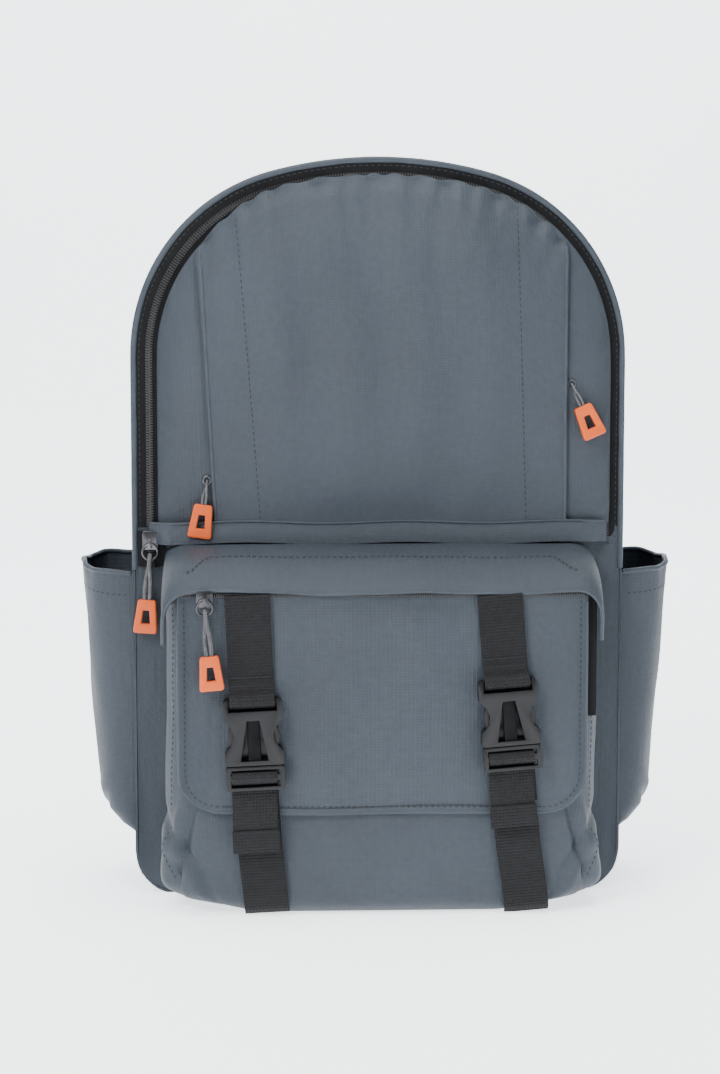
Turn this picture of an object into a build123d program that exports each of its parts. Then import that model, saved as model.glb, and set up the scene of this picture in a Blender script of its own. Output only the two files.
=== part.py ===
from build123d import *
import os
from math import atan2, cos, radians, sin, sqrt, tan

os.makedirs("parts", exist_ok=True)

# The front of the bag faces -Y, +X is to the right of someone facing it, and
# +Z is up. The origin is on the floor, under the main compartment.

# ---- Main body ----
body_width = 276.0
body_height = 417.0
corner_radius = 105.0
crown_radius = 230.0
foot_radius = 14.0
front_y = -30.0
back_y = 49.0
gusset_wall = 2.4
fabric = 1.6
back_panel_thickness = 6.0
bottom_height = 30.0

# ---- Opening front panel ----
hinge_z = 205.0
seam_z = 214.0
clearance = 0.3
band_front_y = -38.2
zip_inset = 1.2
zip_tape_width = 7.4
zip_gap = 0.6
coil_height = 1.2
tape = 1.2
panel_inset = 13.5
side_panel_y = -31.4
centre_panel_y = -36.6
left_placket_inset = 46.0
right_placket_inset = 33.0
left_placket_lean = 3.0
pouch_depth = 11.0

# ---- Front pocket, hood and flap ----
pocket_inset = 19.0
pocket_front_y = -80.0
pocket_height = 178.0
pocket_edge_radius = 18.0
pocket_foot_radius = 10.0
hood_root_z = 199.5
brow_y = -66.0
brow_z = 198.6
brow_turn_y = -80.0
brow_turn_z = 193.4
lip_z = 182.0
lip_height = 4.0
flap_y = -84.2
flap_foot_z = 58.0
flap_inset = 7.0
flap_radius = 22.0
flap_gap = 0.4
flap_thickness = 1.8

# ---- Side pockets ----
side_depth = 33.0
side_front_y = -22.0
side_back_y = 40.0
side_top_z = 188.0
side_foot_z = 33.0
side_taper = 9.0

# ---- Webbing and buckles ----
webbing_width = 25.0
webbing = 1.6
strap_half_spacing = 70.0
left_lean = 2.5
right_lean = 4.5
left_buckle_z = 87.0
right_buckle_z = 97.0
buckle_width = webbing_width + 7.0
socket_length = 36.0
buckle_thickness = 9.0
buckle_wall = 1.5
frame_length = 14.0
left_tail_z = 38.0
right_tail_z = 51.0

# ---- Pullers ----
tab_length = 19.0
tab_top = 10.2
tab_foot = 13.8
tab_thickness = 4.4
thick_cord = 2.4
thin_cord = 1.4

# ---- Harness on the back ----
pad_thickness = 8.0
strap_thickness = 12.0
strap_y = 64.5

half_width = body_width / 2
shoulder_x = half_width - corner_radius
crown_z = body_height - crown_radius
centre_gap = crown_radius - corner_radius
shoulder_z = crown_z + sqrt(centre_gap**2 - shoulder_x**2)
shoulder_angle = atan2(shoulder_z - crown_z, shoulder_x)
panel_back_y = back_y + back_panel_thickness
pocket_half = half_width - pocket_inset
flap_half = pocket_half - flap_inset
flap_front_y = flap_y - flap_thickness
zip_y = front_y - tape


def save(piece, name):
    """Label one finished piece and write it under its own name."""
    piece.label = name
    export_step(piece, f"parts/{name}.step")


def facing_front(y, x=0.0, z=0.0, lean=0.0):
    """A plane seen from the front: local x to the right, local y up, extrude goes to the front."""
    a = radians(lean)
    return Plane(origin=(x, y, z), x_dir=(cos(a), 0, sin(a)), z_dir=(0, -1, 0))


def block(plane, low, high, depth, radius=0.0):
    """A plate between two corners of a plane, extruded from it, with rounded corners."""
    centre = ((low[0] + high[0]) / 2, (low[1] + high[1]) / 2)
    with BuildPart() as made:
        with BuildSketch(plane):
            with Locations(centre):
                if radius:
                    RectangleRounded(high[0] - low[0], high[1] - low[1], radius)
                else:
                    Rectangle(high[0] - low[0], high[1] - low[1])
        extrude(amount=depth)
    return made.part


def outline_plate(plane, points, depth):
    """A plate with a straight-sided outline, extruded from its plane."""
    with BuildPart() as made:
        with BuildSketch(plane):
            with BuildLine():
                Polyline(*points, close=True)
            make_face()
        extrude(amount=depth)
    return made.part


def arch_plate(inset, y, depth, foot=0.0, round_foot=False):
    """The outline of the body moved in by inset, as a plate that runs from y to the front."""
    half = half_width - inset
    shoulder_r = corner_radius - inset
    crown_r = crown_radius - inset
    tangent = (crown_r * cos(shoulder_angle), crown_z + crown_r * sin(shoulder_angle))
    middle = (
        shoulder_x + shoulder_r * cos(shoulder_angle / 2),
        shoulder_z + shoulder_r * sin(shoulder_angle / 2),
    )
    with BuildPart() as made:
        with BuildSketch(facing_front(y)) as face:
            with BuildLine():
                Line((half, foot), (half, shoulder_z))
                ThreePointArc((half, shoulder_z), middle, tangent)
                ThreePointArc(tangent, (0, body_height - inset), (-tangent[0], tangent[1]))
                ThreePointArc((-tangent[0], tangent[1]), (-middle[0], middle[1]), (-half, shoulder_z))
                Line((-half, shoulder_z), (-half, foot))
                Line((-half, foot), (half, foot))
            make_face()
            if round_foot:
                fillet(face.vertices().group_by(Axis.Z)[0], foot_radius - inset)
        extrude(amount=depth)
    return made.part


def arch_band(inset, width, y, depth, foot):
    """A band of constant width that follows the arch, open at its foot."""
    outer = arch_plate(inset, y, depth, foot)
    inner = arch_plate(inset + width, y + 1, depth + 2, foot - 1)
    with BuildPart() as made:
        add(outer)
        add(inner, mode=Mode.SUBTRACT)
    return made.part


def join(*pieces):
    """One solid from pieces that touch or overlap."""
    with BuildPart() as made:
        for piece in pieces:
            add(piece)
    return made.part


def cut(piece, *holes):
    """The piece without the holes."""
    with BuildPart() as made:
        add(piece)
        for hole in holes:
            add(hole, mode=Mode.SUBTRACT)
    return made.part


# ================= Main shell =================
shell_depth = back_y - front_y
shell_outer = arch_plate(0, back_y, shell_depth, 0, True)
shell_inner = arch_plate(gusset_wall, back_y + 1, shell_depth + 2, gusset_wall, True)
shell_ring = cut(shell_outer, shell_inner)
below = block(
    facing_front(back_y + 1), (-half_width - 1, -1), (half_width + 1, bottom_height), shell_depth + 2
)
with BuildPart() as gusset:
    add(shell_ring)
    add(below, mode=Mode.SUBTRACT)
save(gusset.part, "gusset")

with BuildPart() as bottom_panel:
    add(shell_ring)
    add(below, mode=Mode.INTERSECT)
save(bottom_panel.part, "bottom_panel")

save(arch_plate(0, panel_back_y, back_panel_thickness, 0, True), "back_panel")

lower_front = arch_plate(0, front_y, fabric, 0, True)
above_hinge = block(
    facing_front(front_y + 1), (-half_width - 1, hinge_z - clearance), (half_width + 1, body_height + 1), 4
)
save(cut(lower_front, above_hinge), "lower_front_panel")

# The padded sleeve stands off the back panel on a foam divider with side seams.
sleeve_half = half_width - gusset_wall - 10
sleeve_top = body_height - 132
sleeve_gap = 9.0
sleeve_y = back_y - sleeve_gap
sleeve_wall = block(facing_front(sleeve_y), (-sleeve_half, 6), (sleeve_half, sleeve_top), 3)
sleeve_edges = []
for side in (-1, 1):
    edge = side * (sleeve_half - fabric / 2)
    sleeve_edges.append(
        block(facing_front(back_y), (edge - fabric / 2, 6), (edge + fabric / 2, sleeve_top), sleeve_gap)
    )
sleeve_foot = block(facing_front(back_y), (-sleeve_half, 6), (sleeve_half, 6 + fabric), sleeve_gap)
save(join(sleeve_wall, sleeve_foot, *sleeve_edges), "laptop_sleeve")

# ================= Main zip and opening front panel =================
zip_foot = hinge_z + 8
outer_tape = arch_band(zip_inset, zip_tape_width, front_y, tape, zip_foot)
outer_coil = arch_band(
    zip_inset + zip_tape_width - 1.2, 1.2, zip_y, coil_height, zip_foot
)
lower_tapes = []
for side in (-1, 1):
    edge = side * (half_width - zip_inset - zip_tape_width / 2)
    half = zip_tape_width / 2
    lower_tapes.append(
        block(facing_front(front_y), (edge - half, hinge_z), (edge + half, zip_foot), tape)
    )
save(join(outer_tape, outer_coil, *lower_tapes), "main_zip_outer")

inner_start = zip_inset + zip_tape_width + zip_gap
inner_tape = arch_band(inner_start, zip_tape_width - 1, front_y, tape, zip_foot)
inner_coil = arch_band(inner_start, 1.2, zip_y, coil_height, zip_foot)
save(join(inner_tape, inner_coil), "main_zip_inner")


def placket(side):
    """Foot x, lean and top x of one fold that covers a hidden zip."""
    if side < 0:
        return left_placket_inset - half_width, left_placket_lean
    return half_width - right_placket_inset, 0.0


def placket_x(side, z):
    """The fold's edge at one height."""
    foot_x, lean = placket(side)
    return foot_x + side * (z - seam_z) * tan(radians(lean))


top_z = body_height
panel_face = arch_plate(panel_inset, centre_panel_y, fabric, seam_z)
centre_cut = outline_plate(
    facing_front(centre_panel_y + 1),
    [
        (placket_x(-1, seam_z - 1), seam_z - 1),
        (placket_x(1, seam_z - 1), seam_z - 1),
        (placket_x(1, top_z), top_z),
        (placket_x(-1, top_z), top_z),
    ],
    fabric + 2,
)
with BuildPart() as front_centre_panel:
    add(panel_face)
    add(centre_cut, mode=Mode.INTERSECT)
save(front_centre_panel.part, "front_centre_panel")

zip_offset = 7.0
hidden_zip_width = 12.0
side_face = arch_plate(panel_inset, side_panel_y, fabric - 0.2, seam_z)
for side, word in ((-1, "left"), (1, "right")):
    gap = side * (zip_offset - hidden_zip_width / 2)
    far = side * (half_width + 1)
    mask = outline_plate(
        facing_front(side_panel_y + 1),
        [
            (placket_x(side, seam_z - 1) - gap, seam_z - 1),
            (far, seam_z - 1),
            (far, top_z),
            (placket_x(side, top_z) - gap, top_z),
        ],
        fabric + 2,
    )
    with BuildPart() as side_panel:
        add(side_face)
        add(mask, mode=Mode.INTERSECT)
    save(side_panel.part, f"front_side_panel_{word}")

    foot_x, lean = placket(side)
    zip_plane = facing_front(side_panel_y - 0.2, foot_x, seam_z, -side * lean)
    near = -side * zip_offset
    zip_length = body_height - seam_z - 58
    tape_part = block(
        zip_plane,
        (near - hidden_zip_width / 2, 4),
        (near + hidden_zip_width / 2, zip_length),
        tape - 0.2,
    )
    coil_part = block(zip_plane, (near - 1.4, 4), (near + 1.4, zip_length), tape - 0.2 + coil_height - 0.4)
    save(join(tape_part, coil_part), f"placket_zip_{word}")

band_half = half_width - panel_inset - 2
band = block(
    facing_front(side_panel_y), (-band_half, hinge_z + clearance), (band_half, seam_z),
    side_panel_y - band_front_y,
)
save(band, "front_band")

# A flat pouch hangs behind the panel: both hidden zips open into it.
pouch_half = half_width - left_placket_inset
pouch_low = hinge_z + 12
pouch_high = body_height - 62
pouch_y = front_y + 1
pouch_outer = block(
    facing_front(pouch_y + pouch_depth), (-pouch_half, pouch_low), (pouch_half, pouch_high), pouch_depth
)
pouch_inner = block(
    facing_front(pouch_y + pouch_depth - 1),
    (-pouch_half + 1, pouch_low + 1),
    (pouch_half - 1, pouch_high + 1),
    pouch_depth - 2,
)
save(cut(pouch_outer, pouch_inner), "upper_pocket_bag")

# ================= Front pocket and hood =================
def pocket_tub(half, front, foot, top, edge, foot_edge):
    """A solid block with the pocket's rounded front edges and rounded front foot."""
    with BuildPart() as made:
        with BuildSketch(Plane.XY.offset(foot)) as face:
            with BuildLine():
                Polyline(
                    (-half, front_y - fabric), (-half, front), (half, front), (half, front_y - fabric),
                    close=True,
                )
            make_face()
            fillet(face.vertices().group_by(Axis.Y)[0], edge)
        extrude(amount=top - foot)
        front_foot = made.edges().group_by(Axis.Z)[0].filter_by(
            lambda e: (e @ 0.5).Y < front_y - fabric - 1
        )
        fillet(front_foot, foot_edge)
    return made.part


tub_outer = pocket_tub(
    pocket_half, pocket_front_y, 0, pocket_height, pocket_edge_radius, pocket_foot_radius
)
tub_inner = pocket_tub(
    pocket_half - fabric,
    pocket_front_y + fabric,
    fabric,
    pocket_height + 1,
    pocket_edge_radius - fabric,
    pocket_foot_radius - fabric,
)
save(cut(tub_outer, tub_inner), "front_pocket")

hood_half = pocket_half + 2
lip_back_y = flap_y
lip_front_y = flap_front_y
roof = outline_plate(
    Plane(origin=(-hood_half, 0, 0), x_dir=(0, 1, 0), z_dir=(1, 0, 0)),
    [
        (front_y - fabric, hood_root_z),
        (brow_y, brow_z),
        (brow_turn_y, brow_turn_z),
        (lip_front_y, lip_z + lip_height),
        (lip_front_y, lip_z),
        (lip_back_y, lip_z),
        (lip_back_y, lip_z + lip_height),
        (brow_turn_y + fabric, brow_turn_z - fabric),
        (brow_y + fabric, brow_z - fabric),
        (front_y - fabric, hood_root_z - fabric),
    ],
    2 * hood_half,
)
skirts = []
for side in (-1, 1):
    start = side * (hood_half - 0.8) - 0.8
    skirts.append(
        outline_plate(
            Plane(origin=(start, 0, 0), x_dir=(0, 1, 0), z_dir=(1, 0, 0)),
            [
                (front_y - fabric, hood_root_z - 1),
                (brow_y, brow_z - 1),
                (brow_turn_y, brow_turn_z - 1),
                (lip_front_y, lip_z + lip_height - 0.5),
                (lip_front_y, lip_z),
                (pocket_front_y, lip_z - 10),
                (front_y - fabric, lip_z - 16),
            ],
            1.6,
        )
    )
save(join(roof, *skirts), "pocket_hood")

# The fixed half of the pocket's zip runs under the lip and down the right side.
fixed_zip_y = pocket_front_y - 2.2
fixed_zip = join(
    block(facing_front(fixed_zip_y), (-pocket_half + 7, lip_z - 5), (pocket_half - 1, lip_z + 2), tape),
    block(
        facing_front(fixed_zip_y), (pocket_half - 9, lip_z - 72), (pocket_half - 1, lip_z), tape
    ),
    block(facing_front(pocket_front_y + 3), (pocket_half - 13, lip_z - 72), (pocket_half - 9, lip_z - 4), 6.2),
)
save(cut(fixed_zip, tub_outer), "pocket_zip_fixed")

# ================= Flap =================
flap = join(
    block(
        facing_front(flap_y), (-flap_half, flap_foot_z), (flap_half, flap_foot_z + 60), flap_thickness, flap_radius
    ),
    block(facing_front(flap_y), (-flap_half, flap_foot_z + 30), (flap_half, lip_z - flap_gap), flap_thickness),
)
save(flap, "flap")

lower_zip = join(
    block(facing_front(flap_front_y), (-flap_half + 1, lip_z - 5), (flap_half - 1, lip_z - 0.6), tape),
    block(facing_front(flap_front_y - tape), (-flap_half + 1, lip_z - 2.4), (flap_half - 1, lip_z - 0.8), 0.5),
)
save(lower_zip, "pocket_zip_flap")

# ================= Side pockets =================
def side_shape(side, inner, top):
    """The side pocket seen from the front, moved in by inner."""
    return [
        (side * half_width, top),
        (side * (half_width + side_depth - inner), top),
        (side * (half_width + side_depth - side_taper - inner), side_foot_z + 24),
        (side * (half_width + side_depth - side_taper - 6 - inner), side_foot_z + 10 + inner),
        (side * (half_width + 2), side_foot_z + inner),
        (side * half_width, side_foot_z + inner),
    ]


for side, word in ((-1, "left"), (1, "right")):
    outer = outline_plate(facing_front(side_back_y), side_shape(side, 0, side_top_z), side_back_y - side_front_y)
    inner = outline_plate(
        facing_front(side_back_y - fabric),
        side_shape(side, fabric, side_top_z + 1),
        side_back_y - side_front_y - 2 * fabric,
    )
    with BuildPart() as side_pocket:
        add(outer)
        add(inner, mode=Mode.SUBTRACT)
    save(side_pocket.part, f"side_pocket_{word}")

# ================= Straps, buckles and webbing =================
prong_outline = [
    (9.4, 0.0), (12.2, 0.0), (12.6, 8.0), (13.8, 14.0), (13.8, 18.5), (12.6, 22.0), (9.8, 26.0),
    (8.4, 26.0), (10.2, 20.0), (10.6, 14.0), (9.8, 8.0),
]
throat_half = buckle_width / 2 - 1.8
waist_outline = [(1.5, 6.5), (-0.2, 7.5), (-4.2, 12.0), (-5.2, 17.0), (-3.8, 21.0), (-0.2, 25.0), (1.5, 25.6)]
window_outline = [(-7.6, 2.4), (7.6, 2.4), (3.4, 24.6), (-3.4, 24.6)]
tongue_half = 3.5
tongue_length = 26.0
loop_low = 30.6
loop_high = 38.6
loop_depth = 6.6
for side, word in ((-1, "left"), (1, "right")):
    lean = left_lean if side < 0 else right_lean
    mouth_z = left_buckle_z if side < 0 else right_buckle_z
    tail_z = left_tail_z if side < 0 else right_tail_z
    mouth_x = side * strap_half_spacing

    def at(y):
        """A plane at depth y with its origin at the buckle's mouth, up along the strap."""
        return facing_front(y, mouth_x, mouth_z, lean)

    wide = webbing_width / 2
    top_v = (lip_z - 6 - mouth_z) / cos(radians(lean)) - 1.2
    upper = join(
        block(at(flap_front_y), (-wide, loop_high - 1.6), (wide, top_v), webbing),
        block(at(flap_front_y - 2.0), (-wide, loop_low), (wide, loop_high), loop_depth),
        block(at(flap_front_y), (-wide, loop_high - 1.8), (wide, loop_high), 3.0),
    )
    loop_hole = block(at(flap_front_y - 3.4), (-wide - 1, loop_low + 1.8), (wide + 1, loop_high - 2.2), 3.8)
    save(cut(upper, loop_hole), f"upper_webbing_{word}")

    # The socket: a flat box with a throat, waist openings, a front window and a webbing bar.
    back = flap_front_y - 0.6
    half = buckle_width / 2
    body = block(at(back), (-half, 0), (half, socket_length), buckle_thickness, 2.0)
    throat = block(
        at(back - buckle_wall), (-throat_half, -1), (throat_half, 27.5), buckle_thickness - 2 * buckle_wall
    )
    holes = [throat]
    for waist in (-1, 1):
        notch = [(waist * (buckle_width / 2 + u), v) for u, v in waist_outline]
        holes.append(outline_plate(at(back + 1), notch, buckle_thickness + 2))
    holes.append(
        outline_plate(at(back - buckle_thickness + buckle_wall + 0.5), window_outline, 3)
    )
    holes.append(block(at(back + 1), (-wide - 0.8, 29.6), (wide + 0.8, 32.6), buckle_thickness + 2))
    holes.append(block(at(back + 1), (-wide - 0.8, 31), (wide + 0.8, 37), 3.9))
    holes.append(block(at(back - 6.1), (-wide - 0.8, 31), (wide + 0.8, 37), 4))
    save(cut(body, *holes), f"buckle_socket_{word}")

    # The plug: a two-bar frame for the webbing and a guide tongue.
    frame_y = back - 4.4
    frame = block(at(frame_y), (-half, -frame_length), (half, -0.4), 4.2, 1.5)
    slots = [
        block(at(frame_y + 1), (-wide - 0.8, -5.2), (wide + 0.8, -2.6), 7),
        block(at(frame_y + 1), (-wide - 0.8, -12.0), (wide + 0.8, -8.6), 7),
    ]
    tongue = block(at(back - 3.2), (-tongue_half, -1.4), (tongue_half, tongue_length), 3.0)
    save(join(cut(frame, *slots), tongue), f"buckle_plug_{word}")

    # The strap comes up behind, wraps the middle bar and hangs down in front as the tail.
    ring = cut(
        block(at(frame_y + 1.6), (-wide, -10.3), (wide, -3.5), 7.1),
        block(at(frame_y + 0.2), (-wide - 1, -8.8), (wide + 1, -5.0), 4.6),
    )
    reach = (mouth_z - tail_z) / cos(radians(lean))
    tail = join(
        ring,
        block(at(frame_y + 1.8), (-wide, -reach), (wide, -9.0), webbing),
        block(at(frame_y + 1.8), (-wide, -reach), (wide, -reach + 6), webbing + 1.2),
        block(at(frame_y + 3.6), (-wide, -4.9), (wide, -3.5), 3.0),
        block(at(frame_y + 4.2), (-wide, -(mouth_z - flap_foot_z + 2)), (wide, -3.5), webbing),
    )
    save(tail, f"strap_tail_{word}")

    for hand, prong in ((-1, "outer" if side < 0 else "inner"), (1, "inner" if side < 0 else "outer")):
        points = [(hand * (u + throat_half - 14.2), v) for u, v in prong_outline]
        save(outline_plate(at(back - 2.5), points, 4.0), f"buckle_prong_{word}_{prong}")

    low = -(mouth_z - 4) / cos(radians(lean))
    high = -(mouth_z - flap_foot_z + 5)
    strap = block(at(pocket_front_y), (-wide, low + 7), (wide, high), webbing)
    save(strap, f"lower_strap_{word}")

# ================= Zip sliders and pullers =================
def ring_solid(centre, major, wire):
    """A wire ring that faces the front."""
    with BuildPart() as made:
        with BuildSketch(Plane(origin=centre, x_dir=(1, 0, 0), z_dir=(0, 0, 1))):
            with Locations((major, 0)):
                Circle(wire / 2)
        revolve(axis=Axis(centre, (0, 1, 0)))
    return made.part


def corner_radii(points):
    """One radius for each corner: 0.45 of the shorter run over the tangent of half the turn."""
    radii = []
    for before, here, after in zip(points, points[1:], points[2:]):
        first = Vector(*here) - Vector(*before)
        second = Vector(*after) - Vector(*here)
        turn = first.get_angle(second)
        radii.append(0.45 * min(first.length, second.length) / tan(radians(turn / 2)))
    return radii


def cord_tube(points, diameter, name):
    """A round cord along straight runs and tangent arcs."""
    radii = corner_radii(points)
    with BuildLine() as route:
        FilletPolyline(*points, radius=radii)
    with BuildPart() as made:
        with BuildSketch(Plane(origin=route.line @ 0, z_dir=route.line % 0)):
            Circle(diameter / 2)
        sweep(path=route.line)
    length = sum(edge.length for edge in route.line.edges())
    section = 3.141592653589793 * diameter**2 / 4
    print(
        f"{name}: length {length:.1f}, radii {[round(r, 1) for r in radii]}, "
        f"volume {made.part.volume:.1f} against {section * length:.1f}"
    )
    save(made.part, name)


def puller(word, centre, ring_radius, wire, cord, drop, lean, forward):
    """The cord loop and moulded tab that hang from a ring's lowest point."""
    fold = wire / 2 + cord / 2 + (0.6 if cord == thick_cord else 0.35)
    hang = Plane(
        origin=(centre[0], centre[1], centre[2]),
        x_dir=(cos(radians(lean)), 0, sin(radians(lean))),
        z_dir=(0, -1, 0),
    )
    spread = cord / 2 + 0.25
    wire_v = -ring_radius
    rise = drop + wire_v
    front_leg = [
        (spread, -drop, forward),
        (spread + 0.15, -drop + rise * 0.34, forward * 0.85 + fold * 0.2),
        (spread * 0.7, -drop + rise * 0.62, forward * 0.35 + fold * 0.85),
        (0.25, wire_v - fold - 0.9, fold),
        (0.1, wire_v + fold + 0.1, fold * 0.95),
    ]
    back_leg = [
        (-spread, -drop, forward),
        (-spread - 0.15, -drop + rise * 0.34, forward * 0.85 - fold * 0.2),
        (-spread * 0.7, -drop + rise * 0.62, forward * 0.35 - fold * 0.85),
        (-0.25, wire_v - fold - 0.9, -fold),
        (-0.1, wire_v + fold + 0.1, -fold * 0.95),
    ]
    local = front_leg + back_leg[::-1]
    route = [tuple(hang.from_local_coords(Vector(*point))) for point in local]
    cord_tube(route, cord, f"{word}_cord")

    face = Plane(
        origin=hang.from_local_coords(Vector(0, -drop, forward - tab_thickness / 2)),
        x_dir=hang.x_dir,
        z_dir=hang.z_dir,
    )
    top, foot = tab_top / 2, tab_foot / 2
    with BuildPart() as tab:
        with BuildSketch(face) as shape:
            with BuildLine():
                Polyline((-top, 0), (top, 0), (foot, -tab_length), (-foot, -tab_length), close=True)
            make_face()
            fillet(shape.vertices(), 1.6)
        extrude(amount=tab_thickness)
        with BuildSketch(face):
            with BuildLine():
                Polyline((-1.7, -6), (1.7, -6), (2.4, -13.5), (-2.4, -13.5), close=True)
            make_face()
        extrude(amount=tab_thickness, mode=Mode.SUBTRACT)
        chamfer(tab.faces().sort_by(Axis.Y)[0].edges(), 0.5)
    save(tab.part, f"{word}_tab")


def ringed_slider(word, x, z, base_y, ring_radius, wire, hook):
    """A slider with a wire ring on its hook, just off its zip. Returns the ring's centre."""
    ring_y = base_y - 5.0 if word == "main" else base_y - 4.0
    foot = max(-5.4, hook - ring_radius)
    slider = join(
        block(facing_front(base_y), (x - 4.5, z + foot), (x + 4.5, z + 5.4), 2.6, 1.6),
        block(facing_front(base_y - 2.4), (x - 0.7, z + hook - 2), (x + 0.7, z + hook + 2.6), base_y - 2.4 - ring_y + 2.0),
    )
    ring_z = z + hook - ring_radius
    hole_plane = Plane(origin=(x - 2, ring_y, z + hook), x_dir=(0, 1, 0), z_dir=(1, 0, 0))
    with BuildPart() as hole:
        with BuildSketch(hole_plane):
            Circle(wire / 2 + 0.45)
        extrude(amount=4)
    save(cut(slider, hole.part), f"{word}_slider")
    save(ring_solid((x, ring_y, ring_z), ring_radius, wire), f"{word}_ring")
    return (x, ring_y, ring_z)


main_zip_x = -(half_width - zip_inset - zip_tape_width - zip_gap / 2)
main_ring = ringed_slider("main", main_zip_x, hinge_z - 1, zip_y - coil_height - 0.5, 4.2, 1.4, -2.2)
puller("main", main_ring, 4.2, 1.4, thick_cord, 27.0, -4.0, 0.0)

pocket_ring = ringed_slider("pocket", -flap_half + 15, lip_z - 5.8, flap_front_y - tape - 0.8, 4.2, 1.4, 1.0)
puller("pocket", pocket_ring, 4.2, 1.4, thick_cord, 26.5, 5.0, 0.0)


def hidden_slider(word, side, z, lean, drop):
    """A slider under the fold, with an eye at the fold's edge that carries the cord."""
    slider_x = placket_x(side, z) - side * zip_offset
    eye_x = placket_x(side, z) + side * 3.6
    y = side_panel_y - 0.2 - (tape - 0.2) - (coil_height - 0.4) - 0.3
    plane = facing_front(y)
    arm_low, arm_high = sorted((slider_x, eye_x - side * 1.6))
    slider = join(
        block(plane, (slider_x - 3.4, z - 4.5), (slider_x + 3.4, z + 4.5), 2.2),
        block(facing_front(y - 1.1), (arm_low, z - 0.7), (arm_high, z + 0.7), 1.3),
        ring_solid((eye_x, y - 1.8, z), 2.1, 1.2),
    )
    save(slider, f"{word}_slider")
    puller(word, (eye_x, y - 1.8, z), 2.1, 1.2, thin_cord, drop, lean, 5.2)


hidden_slider("left_placket", -1, 238.0, -8.0, 13.5)
hidden_slider("right_placket", 1, 292.0, 24.0, 13.5)

# ================= Back and harness =================
pad_top = body_height - 72
for side, word in ((-1, "left"), (1, "right")):
    low_x, high_x = sorted((side * 16, side * (half_width - 54)))
    save(
        block(facing_front(panel_back_y + pad_thickness), (low_x, 56), (high_x, pad_top), pad_thickness, 14),
        f"back_pad_{word}",
    )

yoke_y = panel_back_y + 2
save(block(facing_front(yoke_y), (-98, pad_top + 4), (98, pad_top + 42), 2, 6), "strap_yoke")

strap_top = pad_top + 30
strap_foot = strap_top - 224
for side, word in ((-1, "left"), (1, "right")):
    with BuildPart() as shoulder:
        with BuildSketch(facing_front(strap_y + strap_thickness)):
            with BuildLine():
                Line((side * 36, strap_top), (side * 88, strap_top))
                ThreePointArc(
                    (side * 88, strap_top), (side * 104, strap_top - 110), (side * 121, strap_foot)
                )
                Line((side * 121, strap_foot), (side * 75, strap_foot))
                ThreePointArc(
                    (side * 75, strap_foot), (side * 53, strap_top - 110), (side * 36, strap_top)
                )
            make_face()
        extrude(amount=strap_thickness)
        fillet(shoulder.edges().filter_by(lambda e: abs((e @ 0.5).Y - strap_y - strap_thickness) < 0.01), 3)
    save(shoulder.part, f"shoulder_strap_{word}")

    lock_x = side * 98
    lock_plane = facing_front(strap_y + 9, lock_x, strap_foot - 2)
    lock = cut(
        block(lock_plane, (-18, -30), (18, 0), 4.5, 2),
        block(facing_front(strap_y + 10, lock_x, strap_foot - 2), (-13.5, -7), (13.5, -3), 7),
        block(facing_front(strap_y + 10, lock_x, strap_foot - 2), (-13.5, -16), (13.5, -11), 7),
        block(facing_front(strap_y + 10, lock_x, strap_foot - 2), (-13.5, -26), (13.5, -20), 7),
    )
    save(lock, f"strap_adjuster_{word}")

    anchor_x = side * (half_width - 22)
    rise = strap_foot - 2 - 30 - 2 - 30
    slope = side * 8.0
    save(
        outline_plate(
            facing_front(panel_back_y + 5),
            [
                (anchor_x - 12.5, 30),
                (anchor_x + 12.5, 30),
                (anchor_x + 12.5 - slope, 30 + rise),
                (anchor_x - 12.5 - slope, 30 + rise),
            ],
            webbing,
        ),
        f"lower_webbing_{word}",
    )

with BuildPart() as strap_anchors:
    for side in (-1, 1):
        anchor_x = side * (half_width - 22)
        add(
            outline_plate(
                facing_front(panel_back_y + 3.4),
                [
                    (anchor_x - side * 14, 46),
                    (anchor_x + side * 14, 46),
                    (side * (half_width - 4), 14),
                    (side * (half_width - 20), 14),
                ],
                3.4,
            )
        )
save(strap_anchors.part, "strap_anchors")

handle_z = body_height - 12
with BuildPart() as haul_handle:
    with BuildSketch(facing_front(panel_back_y + 5.2)):
        with BuildLine():
            Line((-32, handle_z), (-32, handle_z - 8))
            ThreePointArc((-32, handle_z - 8), (0, handle_z - 38), (32, handle_z - 8))
            Line((32, handle_z - 8), (32, handle_z))
            Line((32, handle_z), (14, handle_z))
            Line((14, handle_z), (14, handle_z - 7))
            ThreePointArc((14, handle_z - 7), (0, handle_z - 19), (-14, handle_z - 7))
            Line((-14, handle_z - 7), (-14, handle_z))
            Line((-14, handle_z), (-32, handle_z))
        make_face()
    extrude(amount=2.8)
save(haul_handle.part, "haul_handle")
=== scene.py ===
# %% [markdown]
# A daypack is sewn from flat cloth, so almost every piece here starts as a flat grid and is pushed
# into its stuffed shape, the way cloth takes the shape of what is inside it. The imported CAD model
# is the frame: it gives each body its place and its motion, and this file only dresses it.
# %% Load the frame
import math

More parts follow.
